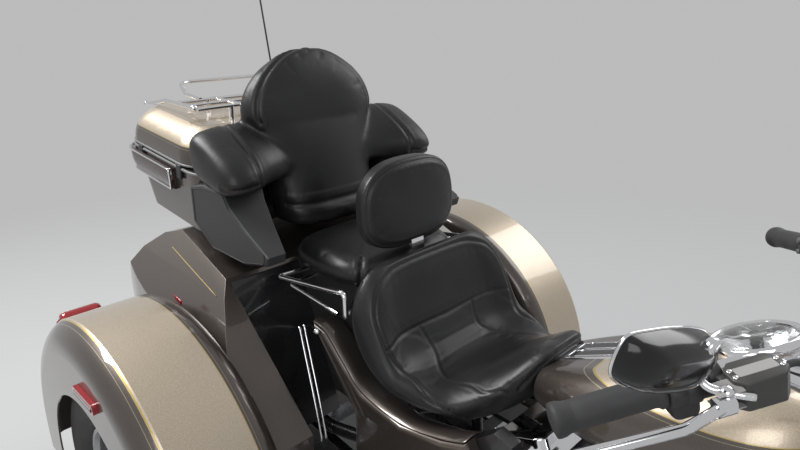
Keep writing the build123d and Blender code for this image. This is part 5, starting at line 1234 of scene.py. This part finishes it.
# %% [markdown]
# ## Tank console and dial
# Two glossy black panels lie in the chrome console, either side of a bright spine. The dial
# is a chrome cup with a dark face, raised marks, a pointer and a domed glass.

# %% Console
console_frame = standing((0, -0.110, 0.812), (0, 0.4408, 0.8976), (0, -0.8976, 0.4408))
PANELS = [(0.006, 0.122), (0.130, 0.232)]
mesh = bmesh.new()
for low, high in ((-0.0315, -0.0055), (0.0055, 0.0315)):
    for y0, y1 in PANELS:
        block_in(console_frame, mesh, (low, y0, -0.001), (high, y1, 0.0012), 0.0008, 2)
as_piece("console_panels", mesh, gloss_black, "chassis", False)
mesh = bmesh.new()
for x in (-0.0185, 0.0185):
    for y0, y1 in PANELS:
        low, high = (x - 0.0145, y0 - 0.001), (x + 0.0145, y1 + 0.001)
        corners = [(low[0], low[1]), (high[0], low[1]), (high[0], high[1]), (low[0], high[1])]
        corners = [Vector((*corner, 0.0016)) for corner in corners]
        line = [a.lerp(b, t / 6) for a, b in zip(corners, corners[1:] + corners[:1])
                for t in range(6)]
        tube_loop(mesh, [console_frame @ p for p in line], 0.0012, 6)
as_piece("console_lines", mesh, chrome, "chassis")
print("console")

# %% Dial
DIAL_MID, DIAL_LEAN = Vector((0, -0.408, 0.968)), radians(24)
MARKS, MARK_SWEEP, MARK_TOP = 48, 264, 0.0560
dial_up = Vector((0, sin(DIAL_LEAN), cos(DIAL_LEAN)))
dial_frame = standing(DIAL_MID, dial_up, (0, -1, 0))
mesh = bmesh.new()
turned_ring(mesh, DIAL_MID, dial_up, [(0.0700, -0.010), (0.0708, -0.002), (0.0698, 0.005),
                                      (0.0665, 0.0085), (0.0625, 0.0070), (0.0600, 0.0015),
                                      (0.0598, -0.006)], 72)
as_piece("dial_bezel", mesh, chrome, "chassis")
mesh = bmesh.new()
turned_shape(mesh, DIAL_MID, dial_up,
             [(0.0612, -0.001), (0.0610, 0.0014), (0.040, 0.0016), (0.012, 0.0018)], 64)
face_grey = make_finish("dial_face", (0.030, 0.031, 0.034), 0.5, clouds=(0.4, 0.55))
as_piece("dial_plate", mesh, face_grey, "chassis")
mesh = bmesh.new()
for k in range(MARKS + 1):
    tall, wide = (0.009, 0.0009) if k % 6 == 0 else (0.005, 0.0005)
    turn = Matrix.Rotation(-radians(MARK_SWEEP * (k / MARKS - 0.5)), 4, "Z")
    block_in(dial_frame @ turn, mesh, (-wide, MARK_TOP - tall, 0.0015), (wide, MARK_TOP, 0.0021))
at_zero = Matrix.Rotation(radians(MARK_SWEEP / 2), 4, "Z")
block_in(dial_frame @ at_zero, mesh, (-0.0011, -0.010, 0.0040), (0.0011, 0.050, 0.0050), 0.0004, 1)
mark_white = make_finish("mark_white", (0.72, 0.71, 0.66), 0.6, clouds=(0.55, 0.65))
as_piece("dial_marks", mesh, mark_white, "chassis", False)
mesh = bmesh.new()
turned_shape(mesh, DIAL_MID, dial_up, [(0.0070, 0.0020), (0.0070, 0.0055), (0.0045, 0.0070)], 20)
for x in (-0.018, 0.018):
    block_in(dial_frame, mesh, (x - 0.013, -0.040, 0.0016), (x + 0.013, -0.028, 0.0024), 0.0008, 1)
as_piece("dial_hub_and_windows", mesh, gloss_black, "chassis")
mesh = bmesh.new()
turned_shape(mesh, DIAL_MID, dial_up, [(0.0615, 0.0058), (0.0612, 0.0075), (0.052, 0.0108),
                                       (0.036, 0.0134), (0.018, 0.0148), (0.006, 0.0152)], 64)
as_piece("dial_glass", mesh, clear_lens, "chassis")
mesh = bmesh.new()
strip = standing(DIAL_MID + Vector((0, 0, -0.010)), dial_up, (0, -1, 0))
for a in (-28, -15, -2):
    block_in(strip @ Matrix.Rotation(radians(a), 4, "Z"), mesh,
             (-0.0075, 0.0690, -0.0050), (0.0075, 0.0725, 0.0045), 0.001, 2)
as_piece("dial_lamps", mesh, gloss_black, "chassis")
print("dial")

# %% [markdown]
# ## Body trim
# Thin painted and plated details give the bodywork its scale: pinstripes on the trunk, a
# bezel round each lamp, a handle and a blank plate on the door, a double bright line beside
# the splash panels, and the hollow cover tops that close the gap below the seat.

# %% Lamps on the fenders
def on_ring(x, radius, angle):
    """A point at a radius from the fender's centre, its angle counted upwards from the rear."""
    return round_axle(FENDER_AXLE, x, radius, radians(angle))


def corner_arcs(x0, x1, y0, y1, wide, high, steps):
    """A rounded rectangle in a plane, whose corners are wide across and high along."""
    spots = [(x1 - wide, y1 - high), (x0 + wide, y1 - high), (x0 + wide, y0 + high),
             (x1 - wide, y0 + high)]
    path = []
    for quarter, (x, y) in enumerate(spots):
        for n in range(steps + 1):
            t = (quarter + n / steps) * pi / 2
            path.append((x + wide * cos(t), y + high * sin(t)))
    return path


LAMP_X, LAMP_R, LAMP_ANGLE = -0.582, 0.461, 40
LAMP_DOME = [(0.98, -0.008), (0.985, 0.014), (0.965, 0.024), (0.90, 0.031), (0.76, 0.034),
             (0.40, 0.035)]
loop = [on_ring(x, LAMP_R, a) for x, a in corner_arcs(-0.634, -0.530, 29, 51, 0.014, 2, 5)]
outline = even_steps(loop + [loop[0]], 0.005)[:-1]
mesh = bmesh.new()
tube_loop(mesh, outline, 0.0030)
both_sides("tail_lamp_bezels", mesh, chrome, "chassis")
lamp_mid = on_ring(LAMP_X, LAMP_R, LAMP_ANGLE)
lamp_up = (lamp_mid - on_ring(LAMP_X, 0, 0)).normalized()
lamp_run = lamp_up.cross(Vector((1, 0, 0)))
mesh = bmesh.new()
skin(mesh, [[lamp_mid + (p - lamp_mid) * grow + lamp_up * high for p in outline]
            for grow, high in LAMP_DOME])
both_sides("tail_lamp_domes", mesh, red_lens, "chassis")
mesh = bmesh.new()
for shift in (-0.034, -0.022):
    bar = [lamp_mid + Vector((shift, 0, 0)) + lamp_up * (0.0338 if abs(n) < 5 else 0.0305)
           + lamp_run * n * 0.0125 for n in range(-5, 6)]
    add_tube(mesh, bar, 0.0022, 6)
pale_lens = make_finish("pale_lens", (0.78, 0.50, 0.50), 0.15, 0.0, 0.6, clouds=(0.1, 0.2))
both_sides("tail_lamp_bars", mesh, pale_lens, "chassis")
MARK_AT, MARK_LEAN = Vector((-0.7063, 0.597, 0.677)), radians(4)
mark_frame = standing(MARK_AT, (-1, 0, 0), (0, cos(MARK_LEAN), -sin(MARK_LEAN)))
MARKERS = [
    ("marker_strips", gloss_black, (-0.0062, -0.050, -0.001), (0.0022, 0.050, 0.0016), 0.0006),
    ("marker_lines", chrome, (0.0022, -0.052, -0.001), (0.0042, 0.052, 0.0020), 0.0005),
]
for name, finish, low, high, bevel in MARKERS:
    mesh = bmesh.new()
    block_in(mark_frame, mesh, low, high, bevel, 1)
    both_sides(name, mesh, finish, "chassis", False)
print("fender lamps")

# %% Trunk trim
mesh = bmesh.new()
block_in(standing((-0.4387, 0.6925, 0.779), (-1, 0, 0), (0, 0.12, -1)), mesh,
         (-0.0185, -0.0055, -0.0004), (0.0185, 0.0055, 0.0030), 0.001, 2)
both_sides("trunk_reflectors", mesh, red_lens, "chassis")
mesh = bmesh.new()
add_tube(mesh, [on_ring(-0.4405, 0.4235, a) for a in range(96, 176, 4)], 0.0042, 8)
both_sides("fender_welts", mesh, grip_rubber, "chassis")
print("trunk trim")

# %% Door trim
door_up = Vector((0, -0.530, 0.847)).normalized()
door_out = Vector((0, 0.847, 0.530)).normalized()
door_mid = Vector((0, 1.178, 0.5535)) + door_out * 0.006


def on_door(x, rise, out=0.0):
    """A point on the trunk's door."""
    return door_mid + Vector((x, 0, 0)) + door_up * rise + door_out * out


mesh = bmesh.new()
handle = [on_door(-0.085, 0.120), on_door(-0.070, 0.120, 0.022), on_door(0.070, 0.120, 0.022),
          on_door(0.085, 0.120)]
add_tube(mesh, smooth_path(handle, 6), 0.0065, 14)
as_piece("trunk_handle", mesh, chrome, "trunk_door_body")
plate_frame = standing(on_door(0, -0.02), door_out, door_up)
mesh = bmesh.new()
block_in(plate_frame, mesh, (-0.090, -0.050, 0.004), (0.090, 0.050, 0.0055), 0.0008, 1)
plate_white = make_finish("plate_white", (0.62, 0.62, 0.60), 0.4, clouds=(0.36, 0.46))
as_piece("blank_plate", mesh, plate_white, "trunk_door_body", False)
mesh = bmesh.new()
block_in(plate_frame, mesh, (-0.097, -0.057, -0.001), (0.097, 0.057, 0.004), 0.0015, 2)
as_piece("plate_holder", mesh, satin_black, "trunk_door_body")
mesh = bmesh.new()
for x in (-0.075, 0.075):
    for rise in (-0.060, 0.020):
        add_screw(mesh, on_door(x, rise, 0.0055), door_out, 0.0045, 0.003)
as_piece("plate_bolts", mesh, steel, "trunk_door_body")
print("door trim")

# %% Trunk pinstripes
PIN_PATH = [(-0.3800, 0.615, 0.7950), (-0.3655, 0.755, 0.8115), (-0.3505, 0.895, 0.8280)]
pin_gold = make_finish("pin_gold", STRIPE, 0.4, clouds=(0.34, 0.46))
mesh = bmesh.new()
add_tube(mesh, smooth_path(PIN_PATH, 6), 0.0011, 6)
both_sides("trunk_pinstripes", mesh, pin_gold, "chassis")
print("pinstripes")

# %% Splash panel trim
mesh = bmesh.new()
for shift in (0.0, 0.013):
    path = [(-0.262, 0.452, 0.735), (-0.268, 0.430, 0.690), (-0.286, 0.372, 0.585),
            (-0.300, 0.330, 0.500)]
    add_tube(mesh, smooth_path([(x + shift, y, z) for x, y, z in path], 6), 0.0030, 8)
both_sides("splash_trim", mesh, chrome, "chassis")
mesh = bmesh.new()
path = [(-0.200, 0.522, 0.680), (-0.218, 0.470, 0.712), (-0.238, 0.418, 0.732)]
add_tube(mesh, smooth_path(path, 5), 0.0030, 8)
turned_shape(mesh, (-0.240, 0.414, 0.730), (-0.6, -0.6, 0.5),
             [(0.007, -0.003), (0.0075, 0.003), (0.005, 0.006)], 14)
both_sides("splash_latches", mesh, chrome, "chassis")
print("splash panels")

# %% Cover tops
COVER_LINE = [(0.445, 0.738), (0.396, 0.730), (0.326, 0.670), (0.268, 0.627), (0.146, 0.613),
              (0.034, 0.641), (-0.029, 0.669)]
# Across the top: x, then how far each line stands back and above the cover's edge
COVER_ROWS = [(-0.232, 0, 0.001), (-0.212, -0.002, 0.011), (-0.188, 0, 0.004), (-0.160, 0, -0.012)]
mesh = bmesh.new()
rows = []
for x, back, rise in COVER_ROWS:
    line = smooth_path([(x, y + back, z + rise) for y, z in COVER_LINE], 6)
    rows.append([mesh.verts.new(p) for p in line])
weave(mesh, zip(rows, rows[1:]), closed=False)
cover_tops = both_sides("cover_tops", mesh, paint_brown, "chassis")
with_modifier(cover_tops, "SOLIDIFY", "sheet", thickness=0.003, offset=0.0)
with_modifier(cover_tops, "SUBSURF", "smooth", levels=1, render_levels=1)
print("cover tops")

# %% [markdown]
# ## Top box trim
# A grey seal runs round the tub and a grey edge round the lid above it. The lamps on its rear
# corners sit in chrome frames, and two latches hold the lid on the right.

# %% Top box seals
BOX_LEAN = radians(3.7)
box_up = Vector((0, -sin(BOX_LEAN), cos(BOX_LEAN)))
box_back = Vector((0, cos(BOX_LEAN), sin(BOX_LEAN)))


def on_box(x, y, z):
    """A point on the box's own level."""
    return BOX_MID + Vector((x, 0, 0)) + box_back * y + box_up * z


seam_grey = make_finish("seam_grey", (0.16, 0.16, 0.16), 0.4, clouds=(0.32, 0.48))
# Half width, front, back, corner and level of the line, radius of the bar
SEAMS = [
    ("box_seal", "chassis", 0.3125, -0.228, 0.2315, 0.0865, -0.006, 0.0042),
    ("lid_edge", "tour_pack_lid_body", 0.3122, -0.184, 0.2310, 0.0860, 0.0050, 0.0034),
]
for name, body, half, front, back, corner, level, radius in SEAMS:
    mesh = bmesh.new()
    line = corner_arcs(-half, half, front, back, corner, corner, 9)
    even_loop(mesh, [on_box(x, y, level) for x, y in line], 0.008, radius)
    as_piece(name, mesh, seam_grey, body)
print("seal and lid edge")

# %% Top box lamps and latches
LOW_HALF, LOW_BACK, HIGH_HALF, HIGH_BACK, TUB_DEEP = 0.300, 0.140, 0.311, 0.230, 0.165
LAMP_FRONT, LAMP_LONG, LAMP_TOP, LAMP_FOOT, FRAME_OUT = -0.066, 0.42, -0.018, -0.072, 0.017


def on_tub(s, along, z, out):
    """A point on the tub's side, walking from the front of the lamp round the rear corner."""
    t = -z / TUB_DEEP
    half = HIGH_HALF + (LOW_HALF - HIGH_HALF) * t + out
    back = HIGH_BACK + (LOW_BACK - HIGH_BACK) * t + out
    corner = 0.085 - 0.025 * t
    straight = back - corner - LAMP_FRONT
    if along <= straight:
        return on_box(s * half, LAMP_FRONT + along, z)
    arc = (along - straight) / corner
    if arc <= pi / 2:
        return on_box(s * (half - corner + corner * cos(arc)), back - corner + corner * sin(arc), z)
    return on_box(s * (half - corner - (along - straight - corner * pi / 2)), back, z)


LENS_ROWS = [(-0.016, 0.006), (-0.018, 0.014), (-0.026, 0.017), (-0.045, 0.019), (-0.064, 0.017),
             (-0.072, 0.014), (-0.074, 0.006)]
frames, lenses = bmesh.new(), bmesh.new()
span = [LAMP_LONG * k / 60 for k in range(61)]
drop = [LAMP_TOP + (LAMP_FOOT - LAMP_TOP) * k / 6 for k in range(1, 6)]
for s in (-1, 1):
    line = [(a, LAMP_TOP) for a in span] + [(LAMP_LONG, z) for z in drop]
    line += [(a, LAMP_FOOT) for a in span[::-1]] + [(0.0, z) for z in drop[::-1]]
    tube_loop(frames, [on_tub(s, a, z, FRAME_OUT) for a, z in line], 0.0026)
    rows = [[lenses.verts.new(on_tub(s, a, z, out)) for a in span] for z, out in LENS_ROWS]
    weave(lenses, zip(rows, rows[1:]), closed=False)
    for end in (0, -1):
        lenses.faces.new([row[end] for row in rows])
as_piece("box_lamp_frames", frames, chrome, "chassis")
as_piece("box_lamp_lenses", lenses, dark_lens, "chassis")
mesh = bmesh.new()
for y in (-0.105, 0.120):
    block_in(standing(on_box(-0.3165, y, 0), box_up, box_back), mesh,
             (-0.0015, -0.012, -0.034), (0.0055, 0.012, 0.004), 0.002, 2)
as_piece("box_latches", mesh, satin_black, "chassis")
print("box lamps and latches")

# %% Speaker pods
POD_X, POD_SHRINK = -0.3262, 0.93
POD_LINE = [(0.566, 0.874), (0.472, 0.900), (0.466, 0.922), (0.552, 0.962), (0.622, 1.002),
            (0.644, 1.030), (0.737, 1.030), (0.803, 1.013), (0.803, 0.922), (0.716, 0.871)]
corners = [Vector((POD_X, y, z)) for y, z in POD_LINE]
pod_mid = sum(corners, Vector()) / len(corners)
mesh = bmesh.new()
even_loop(mesh, [pod_mid + (p - pod_mid) * POD_SHRINK for p in corners], 0.006, 0.0013)
both_sides("pod_rims", mesh, satin_black, "chassis")
print("speaker pods")

# %% [markdown]
# ## Stage, light and camera
# The trike stands on a plain pale floor that fades into an even backdrop. Three large soft
# lamps and a pale sky light it from above, and the camera stands beside the front right
# corner, where it looks down over the seats towards the rear.

# %% Floor and sky
BACKDROP = (0.50, 0.50, 0.50, 1)
FADE_FROM, FADE_TO = 1.6, 4.2


def seen_directly(tree):
    """One for the camera, for mirrors and for glass, and nothing for the light itself."""
    rays = tree.nodes.new("ShaderNodeLightPath")
    either = math(tree, "MAXIMUM", rays.outputs["Is Camera Ray"],
                  rays.outputs["Is Transmission Ray"])
    return math(tree, "MAXIMUM", either, rays.outputs["Is Glossy Ray"])


def mix_into(tree, factor, first, second, end):
    """Send a mix of two shaders to the end of the tree."""
    mixed = add_node(tree, "MixShader", i0=factor)
    tree.links.new(first.outputs[0], mixed.inputs[1])
    tree.links.new(second.outputs[0], mixed.inputs[2])
    tree.links.new(mixed.outputs[0], tree.nodes[end].inputs["Surface"])


mesh = bmesh.new()
bmesh.ops.create_grid(mesh, x_segments=1, y_segments=1, size=30)
floor_data = bpy.data.meshes.new("floor")
mesh.to_mesh(floor_data)
mesh.free()
floor = bpy.data.objects.new("floor", floor_data)
bpy.context.scene.collection.objects.link(floor)
pale, tree, shader = new_finish("pale_floor", (0.46, 0.46, 0.455), 0.9)
clouded(tree, shader, 0.85, 0.95, 3.0)
x, y, z = add_node(tree, "SeparateXYZ", Vector=place_of(tree)).outputs
far = remap(tree, length_of(tree, x, y), FADE_FROM, FADE_TO, 0.0, 1.0)
haze = add_node(tree, "Emission", Color=BACKDROP)
mix_into(tree, math(tree, "MULTIPLY", far, seen_directly(tree)), shader, haze, "Material Output")
floor_data.materials.append(pale)
world = bpy.data.worlds.new("studio")
bpy.context.scene.world = world
world.use_nodes = True
tree = world.node_tree
sky = tree.nodes["Background"]
sky.inputs["Color"].default_value = (0.86, 0.89, 0.93, 1)
sky.inputs["Strength"].default_value = 0.55
backdrop = add_node(tree, "Background", Color=BACKDROP)
mix_into(tree, seen_directly(tree), sky, backdrop, "World Output")
print("floor and sky")

# %% Lamps
AIMED_AT = Vector((0, 0.1, 0.7))
LAMPS = [
    {"name": "key", "at": (-2.2, 3.6, 4.6), "size": 2.2, "power": 300},
    {"name": "fill", "at": (-4.2, -2.6, 3.4), "size": 3.2, "power": 80},
    {"name": "far_side", "at": (4.4, -0.4, 3.6), "size": 3.0, "power": 80},
]
for lamp in LAMPS:
    data = bpy.data.lights.new(lamp["name"], "AREA")
    data.shape = "SQUARE"
    data.size, data.energy = lamp["size"], lamp["power"]
    light = bpy.data.objects.new(lamp["name"], data)
    bpy.context.scene.collection.objects.link(light)
    light.location = lamp["at"]
    light.rotation_mode = "QUATERNION"
    towards = AIMED_AT - Vector(lamp["at"])
    light.rotation_quaternion = towards.to_track_quat("-Z", "Y")
print(len(LAMPS), "lamps")

# %% Camera
CAMERA_AT, FOCAL_PIXELS, PHOTO_WIDE, SENSOR = (-0.988, -0.607, 1.466), 612.8, 800, 36
yaw, pitch, roll = radians(44.9), radians(-20.55), radians(0.69)
ahead = Vector((sin(yaw) * cos(pitch), cos(yaw) * cos(pitch), sin(pitch)))
level = Vector((cos(yaw), -sin(yaw), 0))
above = level.cross(ahead)
right = cos(roll) * level + sin(roll) * above
up = -sin(roll) * level + cos(roll) * above
lens = bpy.data.cameras.new("camera")
lens.lens, lens.sensor_width = SENSOR * FOCAL_PIXELS / PHOTO_WIDE, SENSOR
lens.clip_start = 0.05
camera = bpy.data.objects.new("camera", lens)
bpy.context.scene.collection.objects.link(camera)
turn = Matrix((right, up, -ahead)).transposed().to_4x4()
camera.matrix_world = Matrix.Translation(CAMERA_AT) @ turn
bpy.context.scene.camera = camera
bpy.context.scene.view_settings.view_transform = "Standard"
print("camera at", tuple(camera.location))
